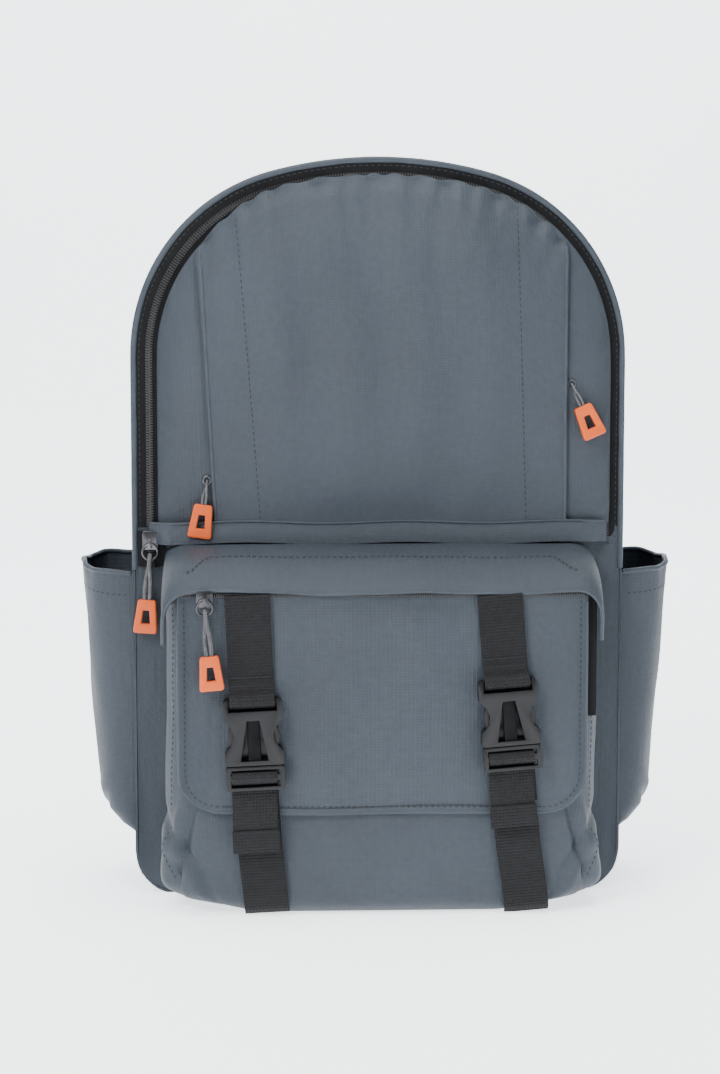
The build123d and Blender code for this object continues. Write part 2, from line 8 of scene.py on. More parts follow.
import bmesh
import bpy
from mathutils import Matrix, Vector


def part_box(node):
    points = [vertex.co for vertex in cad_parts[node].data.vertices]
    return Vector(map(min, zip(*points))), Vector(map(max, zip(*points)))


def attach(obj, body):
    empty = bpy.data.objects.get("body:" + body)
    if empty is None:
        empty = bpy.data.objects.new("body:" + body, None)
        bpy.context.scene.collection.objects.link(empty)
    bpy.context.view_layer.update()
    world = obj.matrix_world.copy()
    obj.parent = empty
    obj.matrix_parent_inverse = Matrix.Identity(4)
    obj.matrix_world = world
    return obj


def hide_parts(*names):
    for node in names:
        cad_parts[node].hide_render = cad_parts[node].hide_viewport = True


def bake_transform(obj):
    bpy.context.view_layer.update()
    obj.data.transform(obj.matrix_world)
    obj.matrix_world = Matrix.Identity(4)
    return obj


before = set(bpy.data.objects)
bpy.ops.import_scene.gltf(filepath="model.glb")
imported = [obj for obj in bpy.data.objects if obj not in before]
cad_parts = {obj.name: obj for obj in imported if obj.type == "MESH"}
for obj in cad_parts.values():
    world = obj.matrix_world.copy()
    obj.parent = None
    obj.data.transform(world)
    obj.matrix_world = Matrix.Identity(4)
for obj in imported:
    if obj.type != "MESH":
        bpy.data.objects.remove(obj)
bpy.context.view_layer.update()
bpy.ops.object.select_all(action="DESELECT")

# %% [markdown]
# Every size below is in millimetres, as a bag maker would write it, and MM turns it into metres.
# The arch of the body is three tangent arcs, and one function gives its top edge at any x.
# %% Driving sizes
MM = 0.001
HALF = (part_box("back_panel")[1][0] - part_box("back_panel")[0][0]) / 2 / MM
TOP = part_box("back_panel")[1][2] / MM
SHOULDER_R = 105.0
CROWN_R = 230.0
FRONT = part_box("gusset")[0][1] / MM
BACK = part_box("back_panel")[1][1] / MM
SHOULDER_X = HALF - SHOULDER_R
CROWN_Z = TOP - CROWN_R
SHOULDER_Z = CROWN_Z + math.sqrt((CROWN_R - SHOULDER_R) ** 2 - SHOULDER_X**2)
TURN = math.atan2(SHOULDER_Z - CROWN_Z, SHOULDER_X)
HINGE = 205.0
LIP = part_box("flap")[1][2] / MM
POCKET_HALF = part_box("front_pocket")[1][0] / MM
POCKET_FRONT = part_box("front_pocket")[0][1] / MM
FLAP_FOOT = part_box("flap")[0][2] / MM
FLAP_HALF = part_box("flap")[1][0] / MM
print("half width", HALF, "top", TOP, "flap foot", FLAP_FOOT)


def arch_top(x, inset=0.0):
    """Height of the arch at x, for the outline moved in by inset."""
    x = abs(x)
    crown_r, shoulder_r = CROWN_R - inset, SHOULDER_R - inset
    if x < crown_r * math.cos(TURN):
        return CROWN_Z + math.sqrt(crown_r**2 - x**2)
    reach = min(x - SHOULDER_X, shoulder_r)
    return SHOULDER_Z + math.sqrt(max(shoulder_r**2 - reach**2, 0.0))


def wave(x, z, seed=0.0):
    """A slow, uneven ripple between -1 and 1, the same on every run."""
    a = math.sin(x * 0.043 + seed) * math.cos(z * 0.031 + seed * 1.7)
    b = math.sin(x * 0.021 - z * 0.017 + seed * 2.3)
    c = math.sin(x * 0.11 + 1.3 * seed) * math.sin(z * 0.057 - seed)
    return (a + b + 0.5 * c) / 2.5


def smooth(t):
    """0 to 1 with flat ends."""
    t = min(max(t, 0.0), 1.0)
    return t * t * (3 - 2 * t)


# %% [markdown]
# The camera comes before any piece, so that each one is judged from where it is seen. It stands a
# little above the middle of the bag and looks slightly down, with a long lens.
# %% Camera
camera_data = bpy.data.cameras.new("camera")
camera = bpy.data.objects.new("camera", camera_data)
bpy.context.scene.collection.objects.link(camera)
camera_data.lens = 74.3
camera_data.sensor_width = 36.0
camera_data.sensor_fit = "AUTO"
camera.location = Vector((-58.0, -1282.0, 332.0)) * MM
aim = Vector((-10.5, -30.0, 205.0)) * MM
camera.rotation_euler = (aim - camera.location).to_track_quat("-Z", "Y").to_euler()
bpy.context.scene.camera = camera

# %% [markdown]
# Four helpers do most of the work. `sheet_piece` bends a grid into a cloth panel and thickens it,
# `beads` repeats one small shape along a line, for stitches and zip teeth, `ribbon` runs a strap
# along a path, and `tube` makes a round cord or rolled edge. Grids keep a UV map in metres, so that
# a weave has one scale on every panel.
# %% Helpers
def deselect():
    """Nothing selected and object mode, ready for the next operator."""
    if bpy.context.object and bpy.context.object.mode != "OBJECT":
        bpy.ops.object.mode_set(mode="OBJECT")
    bpy.ops.object.select_all(action="DESELECT")


def finish_mesh(obj, material, levels=0, thickness=0.0, angle=50.0, offset=-1.0):
    """Thicken, subdivide and smooth a mesh, with its modifiers applied."""
    deselect()
    obj.select_set(True)
    bpy.context.view_layer.objects.active = obj
    if thickness:
        solid = obj.modifiers.new("cloth", "SOLIDIFY")
        solid.thickness = thickness * MM
        solid.offset = offset
        bpy.ops.object.modifier_apply(modifier=solid.name)
    if levels:
        sub = obj.modifiers.new("smooth", "SUBSURF")
        sub.levels = sub.render_levels = levels
        bpy.ops.object.modifier_apply(modifier=sub.name)
    bpy.ops.object.shade_smooth_by_angle(angle=math.radians(angle))
    obj.data.materials.clear()
    obj.data.materials.append(material)
    deselect()
    return obj


def sheet_piece(name, place, columns, rows, material, thickness=1.2, levels=0, scale=(1.0, 1.0), flip=False, offset=-1.0):
    """A grid whose corner (0,0)..(1,1) goes to place(s, t) in millimetres."""
    deselect()
    bpy.ops.mesh.primitive_grid_add(x_subdivisions=columns, y_subdivisions=rows, size=1, calc_uvs=True)
    obj = bpy.context.object
    obj.name = obj.data.name = name
    uv = obj.data.uv_layers.active.data
    spots = {}
    for vertex in obj.data.vertices:
        s, t = vertex.co.x + 0.5, vertex.co.y + 0.5
        spots[vertex.index] = (s, t)
        vertex.co = Vector(place(s, t)) * MM
    for loop in obj.data.loops:
        s, t = spots[loop.vertex_index]
        uv[loop.index].uv = (s * scale[0] * MM, t * scale[1] * MM)
    if flip:
        obj.data.flip_normals()
    return finish_mesh(obj, material, levels, thickness, offset=offset)


def ribbon(name, path, width, frame_at, material, thickness=1.4, rib=0.0):
    """A strap of that width whose middle follows path, a list of 3D points; frame_at gives across."""
    points = [Vector(p) for p in path]
    lengths = [0.0]
    for a, b in zip(points, points[1:]):
        lengths.append(lengths[-1] + (b - a).length)
    total = lengths[-1]

    def at(distance):
        for i in range(len(points) - 1):
            if distance <= lengths[i + 1] or i == len(points) - 2:
                span = max(lengths[i + 1] - lengths[i], 1e-6)
                return points[i].lerp(points[i + 1], (distance - lengths[i]) / span)

    rows = max(int(total / (0.42 if rib else 1.5)), 8)
    across = Vector(frame_at)

    def place(s, t):
        here = at(t * total)
        ahead = at(min(t * total + 0.6, total)) - at(max(t * total - 0.6, 0.0))
        out = ahead.cross(across).normalized()
        lift = rib * math.sin(t * total * 2 * math.pi / 1.7)
        return here + across * ((s - 0.5) * width) + out * lift

    return sheet_piece(name, place, 10, rows, material, thickness, 0, (width, total), offset=0.0)


def curve_object(name, points, radius, cyclic=False, order=3):
    """A smooth tube along points in millimetres, as a NURBS curve."""
    data = bpy.data.curves.new(name, "CURVE")
    data.dimensions = "3D"
    spline = data.splines.new("NURBS")
    spline.points.add(len(points) - 1)
    for point, target in zip(points, spline.points):
        target.co = (point[0] * MM, point[1] * MM, point[2] * MM, 1.0)
    spline.order_u = order
    spline.use_cyclic_u = cyclic
    spline.use_endpoint_u = not cyclic
    data.bevel_depth = radius * MM
    data.bevel_resolution = 3
    data.resolution_u = 6
    obj = bpy.data.objects.new(name, data)
    bpy.context.scene.collection.objects.link(obj)
    return obj


def tube(name, points, radius, material, cyclic=False):
    """A rolled edge: the curve made a mesh."""
    obj = curve_object(name, points, radius, cyclic)
    deselect()
    obj.select_set(True)
    bpy.context.view_layer.objects.active = obj
    bpy.ops.object.convert(target="MESH")
    obj = bpy.context.object
    return finish_mesh(obj, material)


def beads(name, paths, pitch, size, material, out=(0, -1, 0), spread=0.0):
    """Small lozenges every pitch along each path: size is length, width, height in millimetres."""
    mesh = bpy.data.meshes.new(name)
    work = bmesh.new()
    up = Vector(out).normalized()
    length, width, height = size
    ring = [(-0.5, 0, 0), (-0.3, 0.5, 0.45), (0.3, 0.5, 0.45), (0.5, 0, 0), (0.3, -0.5, 0.45), (-0.3, -0.5, 0.45)]
    count = 0
    for path in paths:
        points = [Vector(p) for p in path]
        gap = 0.0
        for a, b in zip(points, points[1:]):
            run = (b - a).length
            along = (b - a).normalized()
            side = along.cross(up).normalized()
            outward = side.cross(along).normalized()
            step = gap
            while step < run:
                middle = a + along * step
                turn = spread * (1 if count % 2 else -1)
                direction = (along + side * turn).normalized()
                flank = direction.cross(outward).normalized()
                made = []
                for u, v, w in ring:
                    p = middle + direction * (u * length) + flank * (v * width) + outward * (w * height)
                    made.append(work.verts.new(p * MM))
                crown = work.verts.new((middle + outward * height) * MM)
                foot = work.verts.new((middle - outward * height * 0.4) * MM)
                for i in range(6):
                    j = (i + 1) % 6
                    work.faces.new((made[i], made[j], crown))
                    work.faces.new((made[j], made[i], foot))
                count += 1
                step += pitch
            gap = step - run
    bmesh.ops.recalc_face_normals(work, faces=work.faces)
    work.to_mesh(mesh)
    work.free()
    obj = bpy.data.objects.new(name, mesh)
    bpy.context.scene.collection.objects.link(obj)
    print(name, count, "stitches or teeth")
    return finish_mesh(obj, material, angle=60)


def join_as(name, objects):
    """Several meshes made one piece."""
    deselect()
    for obj in objects:
        obj.select_set(True)
    bpy.context.view_layer.objects.active = objects[0]
    bpy.ops.object.join()
    joined = bpy.context.object
    joined.name = joined.data.name = name
    return joined


def dress(obj, body, slot, *nodes):
    """The piece rides on its body and stands for CAD nodes, which it hides; slot is not used."""
    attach(obj, body)
    if nodes:
        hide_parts(*nodes)
    return obj


# %% [markdown]
# Cloth, webbing and zip tape share one effect: threads crossing at a set pitch, with uneven yarn.
# It is a node group, so each material places it with its own pitch and its own unevenness.
# %% The weave group
def new_group(name, inputs, outputs):
    """An empty shader group with float inputs and named outputs."""
    group = bpy.data.node_groups.new(name, "ShaderNodeTree")
    for label, kind, value in inputs:
        socket = group.interface.new_socket(label, in_out="INPUT", socket_type=kind)
        if value is not None:
            socket.default_value = value
    for label, kind in outputs:
        group.interface.new_socket(label, in_out="OUTPUT", socket_type=kind)
    return group, group.nodes.new("NodeGroupInput"), group.nodes.new("NodeGroupOutput")


def link(tree, source, target):
    """One wire between two sockets."""
    tree.links.new(source, target)


def math_node(tree, operation, a, b=None):
    """A Math node; a and b are sockets or numbers."""
    node = tree.nodes.new("ShaderNodeMath")
    node.operation = operation
    for index, value in enumerate((a, b)):
        if value is None:
            continue
        if isinstance(value, (int, float)):
            node.inputs[index].default_value = value
        else:
            link(tree, value, node.inputs[index])
    return node.outputs[0]


weave, given, result = new_group(
    "weave",
    [("Vector", "NodeSocketVector", None), ("Threads", "NodeSocketFloat", 1400.0), ("Ripstop", "NodeSocketFloat", 2200.0)],
    [("Height", "NodeSocketFloat"), ("Shade", "NodeSocketFloat")],
)
split = weave.nodes.new("ShaderNodeSeparateXYZ")
link(weave, given.outputs["Vector"], split.inputs[0])
warp = math_node(weave, "SINE", math_node(weave, "MULTIPLY", split.outputs[0], given.outputs["Threads"]))
weft = math_node(weave, "SINE", math_node(weave, "MULTIPLY", split.outputs[1], given.outputs["Threads"]))
threads = math_node(weave, "MULTIPLY", warp, weft)
grid_a = math_node(weave, "POWER", math_node(weave, "ABSOLUTE", math_node(
    weave, "SINE", math_node(weave, "MULTIPLY", split.outputs[0], given.outputs["Ripstop"]))), 14.0)
grid_b = math_node(weave, "POWER", math_node(weave, "ABSOLUTE", math_node(
    weave, "SINE", math_node(weave, "MULTIPLY", split.outputs[1], given.outputs["Ripstop"]))), 14.0)
grid = math_node(weave, "MAXIMUM", grid_a, grid_b)
yarn = weave.nodes.new("ShaderNodeTexNoise")
yarn.inputs["Scale"].default_value = 260.0
yarn.inputs["Detail"].default_value = 4.0
link(weave, given.outputs["Vector"], yarn.inputs["Vector"])
height = math_node(weave, "ADD", math_node(weave, "MULTIPLY", threads, 0.25), math_node(weave, "MULTIPLY", grid, 0.28))
height = math_node(weave, "ADD", height, math_node(weave, "MULTIPLY", yarn.outputs[0], 0.8))
link(weave, height, result.inputs["Height"])
shade = math_node(weave, "ADD", math_node(weave, "MULTIPLY", grid, 0.26), math_node(weave, "MULTIPLY", yarn.outputs[0], 0.5))
link(weave, shade, result.inputs["Shade"])


# %% [markdown]
# Coated ripstop is dull, slightly mottled and crinkled along its length. The weave drives a small
# bump and a faint change of colour, and a stretched noise adds the crinkle.
# %% Cloth materials
def woven(name, dark, light, roughness, threads, ripstop, bump, crinkle=0.0, coordinate="UV", sheen=0.0, gloss=0.3):
    """A woven material between two colours."""
    material = bpy.data.materials.new(name)
    material.use_nodes = True
    tree = material.node_tree
    shader = tree.nodes["Principled BSDF"]
    shader.inputs["Roughness"].default_value = roughness
    shader.inputs["Sheen Weight"].default_value = sheen
    shader.inputs["Specular IOR Level"].default_value = gloss
    place = tree.nodes.new("ShaderNodeTexCoord")
    cloth = tree.nodes.new("ShaderNodeGroup")
    cloth.node_tree = weave
    cloth.inputs["Threads"].default_value = threads
    cloth.inputs["Ripstop"].default_value = ripstop
    link(tree, place.outputs[coordinate], cloth.inputs["Vector"])
    blotch = tree.nodes.new("ShaderNodeTexNoise")
    blotch.inputs["Scale"].default_value = 9.0
    blotch.inputs["Detail"].default_value = 3.0
    link(tree, place.outputs["Object"], blotch.inputs["Vector"])
    mixed = math_node(tree, "ADD", math_node(tree, "MULTIPLY", cloth.outputs["Shade"], 0.55),
                      math_node(tree, "MULTIPLY", blotch.outputs[0], 0.45))
    ramp = tree.nodes.new("ShaderNodeValToRGB")
    ramp.color_ramp.elements[0].position = 0.2
    ramp.color_ramp.elements[0].color = (*dark, 1)
    ramp.color_ramp.elements[1].position = 0.75
    ramp.color_ramp.elements[1].color = (*light, 1)
    link(tree, mixed, ramp.inputs[0])
    link(tree, ramp.outputs[0], shader.inputs["Base Color"])
    surface = cloth.outputs["Height"]
    if crinkle:
        stretch = tree.nodes.new("ShaderNodeMapping")
        stretch.inputs["Scale"].default_value = (240.0, 60.0, 45.0)
        link(tree, place.outputs["Object"], stretch.inputs["Vector"])
        folds = tree.nodes.new("ShaderNodeTexNoise")
        folds.inputs["Scale"].default_value = 1.0
        folds.inputs["Detail"].default_value = 5.0
        link(tree, stretch.outputs[0], folds.inputs["Vector"])
        surface = math_node(tree, "ADD", surface, math_node(tree, "MULTIPLY", folds.outputs[0], crinkle))
    relief = tree.nodes.new("ShaderNodeBump")
    relief.inputs["Strength"].default_value = bump
    relief.inputs["Distance"].default_value = 0.0004
    link(tree, surface, relief.inputs["Height"])
    link(tree, relief.outputs[0], shader.inputs["Normal"])
    return material


SHELL = woven("shell_fabric", (0.024, 0.031, 0.040), (0.050, 0.061, 0.077), 0.5, 7000.0, 2100.0, 0.75, 2.2)
SHELL_CAD = woven("shell_fabric_flat", (0.024, 0.031, 0.040), (0.050, 0.061, 0.077), 0.52, 7000.0, 2100.0, 0.4, 2.2, "Object")
LINING = woven("lining_fabric", (0.03, 0.032, 0.036), (0.055, 0.058, 0.064), 0.7, 5200.0, 2600.0, 0.4, 0.0, "Object")
WEBBING = woven("webbing", (0.002, 0.002, 0.0025), (0.017, 0.017, 0.019), 0.6, 3600.0, 1850.0, 1.0, gloss=0.2)
TAPE = woven("zip_tape", (0.003, 0.003, 0.0035), (0.010, 0.010, 0.011), 0.8, 5200.0, 5200.0, 0.5, 0.0, "Object", gloss=0.15)
MESH = woven("pad_mesh", (0.005, 0.005, 0.006), (0.026, 0.026, 0.028), 0.8, 2400.0, 1100.0, 0.9, 0.0, "Object", gloss=0.2)
THREAD = woven("thread", (0.008, 0.010, 0.013), (0.022, 0.027, 0.033), 0.6, 9000.0, 9000.0, 0.2, 0.0, "Object")
CORD = woven("pull_cord", (0.02, 0.02, 0.021), (0.20, 0.20, 0.21), 0.7, 2600.0, 3100.0, 0.9, 0.0, "Object")
print("cloth materials:", SHELL.name, WEBBING.name, MESH.name)


# %% [markdown]
# Moulded plastic and plated metal share one effect too: a fine grain that breaks up the gloss.
# %% Hard materials
grain, given, result = new_group(
    "grain", [("Vector", "NodeSocketVector", None), ("Scale", "NodeSocketFloat", 900.0)],
    [("Grain", "NodeSocketFloat"), ("Smudge", "NodeSocketFloat")],
)
fine = grain.nodes.new("ShaderNodeTexNoise")
link(grain, given.outputs["Vector"], fine.inputs["Vector"])
link(grain, given.outputs["Scale"], fine.inputs["Scale"])
broad = grain.nodes.new("ShaderNodeTexNoise")
broad.inputs["Scale"].default_value = 70.0
broad.inputs["Detail"].default_value = 5.0
link(grain, given.outputs["Vector"], broad.inputs["Vector"])
link(grain, fine.outputs[0], result.inputs["Grain"])
link(grain, broad.outputs[0], result.inputs["Smudge"])


def moulded(name, dark, light, rough_low, rough_high, metallic=0.0, bump=0.15, coat=0.0, gloss_level=0.5):
    """Plastic or metal with a fine grain."""
    material = bpy.data.materials.new(name)
    material.use_nodes = True
    tree = material.node_tree
    shader = tree.nodes["Principled BSDF"]
    shader.inputs["Metallic"].default_value = metallic
    shader.inputs["Coat Weight"].default_value = coat
    shader.inputs["Specular IOR Level"].default_value = gloss_level
    place = tree.nodes.new("ShaderNodeTexCoord")
    skin = tree.nodes.new("ShaderNodeGroup")
    skin.node_tree = grain
    link(tree, place.outputs["Object"], skin.inputs["Vector"])
    ramp = tree.nodes.new("ShaderNodeValToRGB")
    ramp.color_ramp.elements[0].position = 0.3
    ramp.color_ramp.elements[0].color = (*dark, 1)
    ramp.color_ramp.elements[1].position = 0.7
    ramp.color_ramp.elements[1].color = (*light, 1)
    link(tree, skin.outputs["Smudge"], ramp.inputs[0])
    link(tree, ramp.outputs[0], shader.inputs["Base Color"])
    gloss = tree.nodes.new("ShaderNodeMapRange")
    gloss.inputs["To Min"].default_value = rough_low
    gloss.inputs["To Max"].default_value = rough_high
    link(tree, skin.outputs["Smudge"], gloss.inputs["Value"])
    link(tree, gloss.outputs[0], shader.inputs["Roughness"])
    relief = tree.nodes.new("ShaderNodeBump")
    relief.inputs["Strength"].default_value = bump
    relief.inputs["Distance"].default_value = 0.0002
    link(tree, skin.outputs["Grain"], relief.inputs["Height"])
    link(tree, relief.outputs[0], shader.inputs["Normal"])
    return material


PLASTIC = moulded("buckle_plastic", (0.003, 0.003, 0.004), (0.008, 0.008, 0.009), 0.24, 0.4, gloss_level=0.28)
ORANGE = moulded("puller_orange", (0.55, 0.070, 0.0), (0.64, 0.092, 0.0), 0.38, 0.52, bump=0.1)
METAL = moulded("slider_metal", (0.05, 0.05, 0.055), (0.17, 0.17, 0.18), 0.22, 0.38, metallic=1.0)
COIL = moulded("zip_coil", (0.003, 0.003, 0.0035), (0.009, 0.009, 0.010), 0.34, 0.5)
print("hard materials:", PLASTIC.name, ORANGE.name, METAL.name, COIL.name)


# %% [markdown]
# The zip pullers hang on short loops of flecked cord, each a fixed length threaded through a metal
# ring, with both its ends moulded into an orange tab. The cords come first, because their length is
# real: a smooth curve follows the loop, and the tab hides both ends.
# %% Puller cords
MAIN_ROUTE = [
    (-129.54, -37.9, 170.56), (-128.85, -38.4, 178.29), (-128.98, -40.02, 184.7), (-129.38, -40.4, 190.0),
    (-129.11, -40.27, 196.0), (-129.31, -35.52, 196.01), (-129.88, -35.4, 190.04), (-131.01, -35.77, 184.84),
    (-132.04, -37.4, 178.51), (-132.43, -37.9, 170.77),
]
POCKET_ROUTE = [
    (-93.25, -92.0, 146.73), (-93.76, -92.5, 154.29), (-94.88, -94.12, 160.46), (-96.09, -94.5, 165.45),
    (-96.76, -94.38, 171.41), (-96.96, -89.62, 171.4), (-96.59, -89.5, 165.41), (-96.91, -89.88, 160.29),
    (-96.95, -91.5, 154.01), (-96.13, -92.0, 146.47),
]
LEFT_ROUTE = [
    (-97.8, -40.7, 224.5), (-97.11, -40.25, 228.32), (-97.09, -38.72, 231.54), (-97.26, -37.15, 233.36),
    (-96.81, -37.07, 237.64), (-97.01, -33.93, 237.67), (-97.75, -33.85, 233.43), (-98.41, -35.92, 231.72),
    (-99.29, -39.59, 228.62), (-99.68, -40.7, 224.76),
]
RIGHT_ROUTE = [
    (114.96, -40.7, 280.05), (113.52, -40.25, 283.66), (111.82, -38.72, 286.39), (110.72, -37.15, 287.85),
    (108.83, -37.07, 291.72), (108.65, -33.93, 291.64), (110.26, -33.85, 287.65), (110.61, -35.92, 285.85),
    (111.51, -39.59, 282.76), (113.22, -40.7, 279.28),
]
CORDS = [
    ("main", MAIN_ROUTE, 2.4, 54.3, "main_puller"), ("pocket", POCKET_ROUTE, 2.4, 53.3, "pocket_puller"),
    ("left_placket", LEFT_ROUTE, 1.4, 31.7, "left_placket_puller"),
    ("right_placket", RIGHT_ROUTE, 1.4, 31.7, "right_placket_puller"),
]
for label, route, thick, length, body in CORDS:
    cord = curve_object(label + "_pull_cord", route, thick / 2)
    cord.data.materials.append(CORD)
    dress(cord, body, "pull_cord", label + "_cord")
    print(label, "cord", length, "mm")


# %% [markdown]
# Moulded buckles, tabs, sliders and rings already have the right shape in the CAD model. A copy is
# welded, its flat faces are merged again, and a fine bevel rounds every edge as a mould would.
# %% Hard parts from the CAD
def polished(node, body, slot, material, width=0.35, segments=3):
    """A welded and bevelled copy of a CAD node, which it replaces."""
    deselect()
    source = bpy.data.objects[node]
    obj = bpy.data.objects.new(node + "_moulded", source.data.copy())
    bpy.context.scene.collection.objects.link(obj)
    work = bmesh.new()
    work.from_mesh(obj.data)
    bmesh.ops.remove_doubles(work, verts=work.verts, dist=0.000005)
    bmesh.ops.dissolve_limit(work, angle_limit=math.radians(1.0), verts=work.verts, edges=work.edges)
    work.to_mesh(obj.data)
    work.free()
    obj.select_set(True)
    bpy.context.view_layer.objects.active = obj
    bevel = obj.modifiers.new("edge", "BEVEL")
    bevel.width = width * MM
    bevel.segments = segments
    bevel.limit_method = "ANGLE"
    bevel.angle_limit = math.radians(40)
    bevel.use_clamp_overlap = True
    bpy.ops.object.modifier_apply(modifier=bevel.name)
    finish_mesh(obj, material, angle=35)
    return dress(obj, body, slot, node)


HARD = []
for side in ("left", "right"):
    HARD += [
        ("buckle_socket_" + side, "flap", "buckle_plastic", PLASTIC, 0.9),
        ("buckle_plug_" + side, side + "_plug", "buckle_plastic", PLASTIC, 0.5),
        ("buckle_prong_" + side + "_outer", side + "_prong_outer", "buckle_plastic", PLASTIC, 0.4),
        ("buckle_prong_" + side + "_inner", side + "_prong_inner", "buckle_plastic", PLASTIC, 0.4),
        ("strap_adjuster_" + side, side + "_adjuster", "buckle_plastic", PLASTIC, 0.6),
        (side + "_placket_tab", side + "_placket_puller", "puller_orange", ORANGE, 0.7),
    ]
HARD += [
    ("main_tab", "main_puller", "puller_orange", ORANGE, 0.8),
    ("pocket_tab", "pocket_puller", "puller_orange", ORANGE, 0.8),
    ("main_slider", "main_slider", "slider_metal", METAL, 0.35),
    ("pocket_slider", "pocket_slider", "slider_metal", METAL, 0.35),
    ("left_placket_slider", "left_placket_slider", "slider_metal", METAL, 0.3),
    ("right_placket_slider", "right_placket_slider", "slider_metal", METAL, 0.3),
]
for node, body, slot, material, width in HARD:
    made = polished(node, body, slot, material, width)
    print(made.name, len(made.data.polygons), "faces")
for node in ("main_ring", "pocket_ring"):
    ring = bpy.data.objects[node]
    ring.data.materials.clear()
    ring.data.materials.append(METAL)


# %% [markdown]
# The body is one long side strip, the gusset, sewn round a front and a back outline. It is a grid
# rolled round the outline: stuffed cloth swells between its two seams, and pulls in at both.
# %% Outline of the body
def half_outline(inset, foot, step=4.0):
    """The right half of the outline, from bottom centre to crown, in (x, z)."""
    half = HALF - inset
    points = [(half * i / 24, inset) for i in range(22) if half * i / 24 < half - foot]
    for i in range(7):
        a = -math.pi / 2 + math.pi / 2 * i / 6
        points.append((half - foot + foot * math.cos(a), inset + foot + foot * math.sin(a)))
    rise = int((SHOULDER_Z - inset - foot) / step)
    points += [(half, inset + foot + (SHOULDER_Z - inset - foot) * i / rise) for i in range(1, rise)]
    for i in range(24):
        a = TURN * i / 24
        points.append((SHOULDER_X + (SHOULDER_R - inset) * math.cos(a), SHOULDER_Z + (SHOULDER_R - inset) * math.sin(a)))
    for i in range(16):
        a = TURN + (math.pi / 2 - TURN) * i / 15
        points.append(((CROWN_R - inset) * math.cos(a), CROWN_Z + (CROWN_R - inset) * math.sin(a)))
    points[-1] = (0.0, TOP - inset)
    return points


FOOT = 24.0


def whole_outline(inset=0.0, foot=FOOT):
    """The closed outline, from bottom centre round by the right."""
    right = half_outline(inset, foot)
    left = [(-x, z) for x, z in reversed(right[1:-1])]
    return right + left + [right[0]]


def arch_path(inset, y, low=HINGE):
    """The arch above low, left foot to right foot, as 3D points."""
    right = [(x, z) for x, z in half_outline(inset, 14.0) if z > low]
    right = [(HALF - inset, low)] + right
    left = [(-x, y, z) for x, z in right[:-1]]
    return left + [(x, y, z) for x, z in reversed(right)]


def along(points, share):
    """The point a share of the way along a chain of points."""
    sizes = [math.dist(a, b) for a, b in zip(points, points[1:])]
    goal = share * sum(sizes)
    for i, size in enumerate(sizes):
        if goal <= size or i == len(sizes) - 1:
            k = goal / size if size else 0.0
            return tuple(a + (b - a) * k for a, b in zip(points[i], points[i + 1]))
        goal -= size


OUTLINE = whole_outline()
AROUND = sum(math.dist(a, b) for a, b in zip(OUTLINE, OUTLINE[1:]))
print("outline is", round(AROUND), "mm round")

# %% [markdown]
# The swell is largest half way back. Vertical creases run from the corners, where the strip has to
# turn, and the bottom stays flat where the bag stands on it.
# %% Gusset
def gusset_at(s, t):
    """A point of the side strip."""
    x, z = along(OUTLINE, s)
    y = FRONT + (BACK - 6 - FRONT) * t
    swell = math.sin(math.pi * t) ** 0.6
    out = Vector((x, 0, z - 190)).normalized()
    bulge = (0.9 + 1.5 * wave(z * 1.2, y * 2.0, 1.0) + 0.8 * wave(z * 3.1 + x, y * 5.0, 2.0)) * swell
    bulge *= smooth(z / 26)
    x, z = x + out.x * bulge * (1.0 if abs(x) > 60 else 0.6), z + out.z * bulge * 0.8
    return (x, y, z)


gusset = sheet_piece("gusset_cloth", gusset_at, 300, 26, SHELL, 1.4, 0, (AROUND, 80), offset=-1.0)
work = bmesh.new()
work.from_mesh(gusset.data)
bmesh.ops.remove_doubles(work, verts=work.verts, dist=0.00002)
work.to_mesh(gusset.data)
work.free()
dress(gusset, "pack", "shell_fabric", "gusset", "bottom_panel")
print("gusset", len(gusset.data.polygons), "faces")


# %% [markdown]
# A flat panel inside the arch is a grid whose columns crowd towards the sides, so that the outline
# is round where the arch turns. The back panel is quilted a little between its seams.
# %% Flat panels in the arch
def arch_panel(name, inset, low, depth_at, material, columns, rows, left=None, right=None, thickness=1.4):
    """A panel under the arch between x limits given at each height share."""
    half = HALF - inset

    def place(s, t):
        lo = -half if left is None else left(t)
        hi = half if right is None else right(t)
        u = math.sin((2 * s - 1) * math.pi / 2)
        x = (lo + hi) / 2 + (hi - lo) / 2 * u
        foot = low
        if low < FOOT and abs(x) > half - FOOT:
            reach = abs(x) - (half - FOOT)
            foot = low + FOOT - math.sqrt(max(FOOT**2 - reach * reach, 0.0))
        z = foot + (arch_top(x, inset) - foot) * t
        return (x, depth_at(x, z), z)

    return sheet_piece(name, place, columns, rows, material, thickness, 0, (2 * half, TOP - low), offset=0.0)


def back_depth(x, z):
    """The back panel is nearly flat and swells slightly between its seams."""
    edge = smooth((HALF - abs(x)) / 30) * smooth((arch_top(x) - z) / 30) * smooth(z / 30)
    return BACK - 1.4 + 0.5 * wave(x, z, 3.0) * edge


back = arch_panel("back_cloth", 0.5, 1.0, back_depth, SHELL, 90, 120)
dress(back, "pack", "shell_fabric", "back_panel")


def lower_at(s, t):
    """The flat front below the hinge, with its foot corners turned up."""
    x = math.sin((2 * s - 1) * math.pi / 2) * (HALF - 0.6)
    reach = max(abs(x) - (HALF - FOOT), 0.0)
    foot = 1 + FOOT - math.sqrt(max(FOOT**2 - reach**2, 0.0))
    edge = smooth(s * 8) * smooth((1 - s) * 8)
    y = FRONT - 0.8 - (1.2 * math.sin(math.pi * t) + 0.8 * wave(x * 3, t * 300, 12.0)) * edge
    return (x, y, foot + (HINGE + 6 - foot) * t)


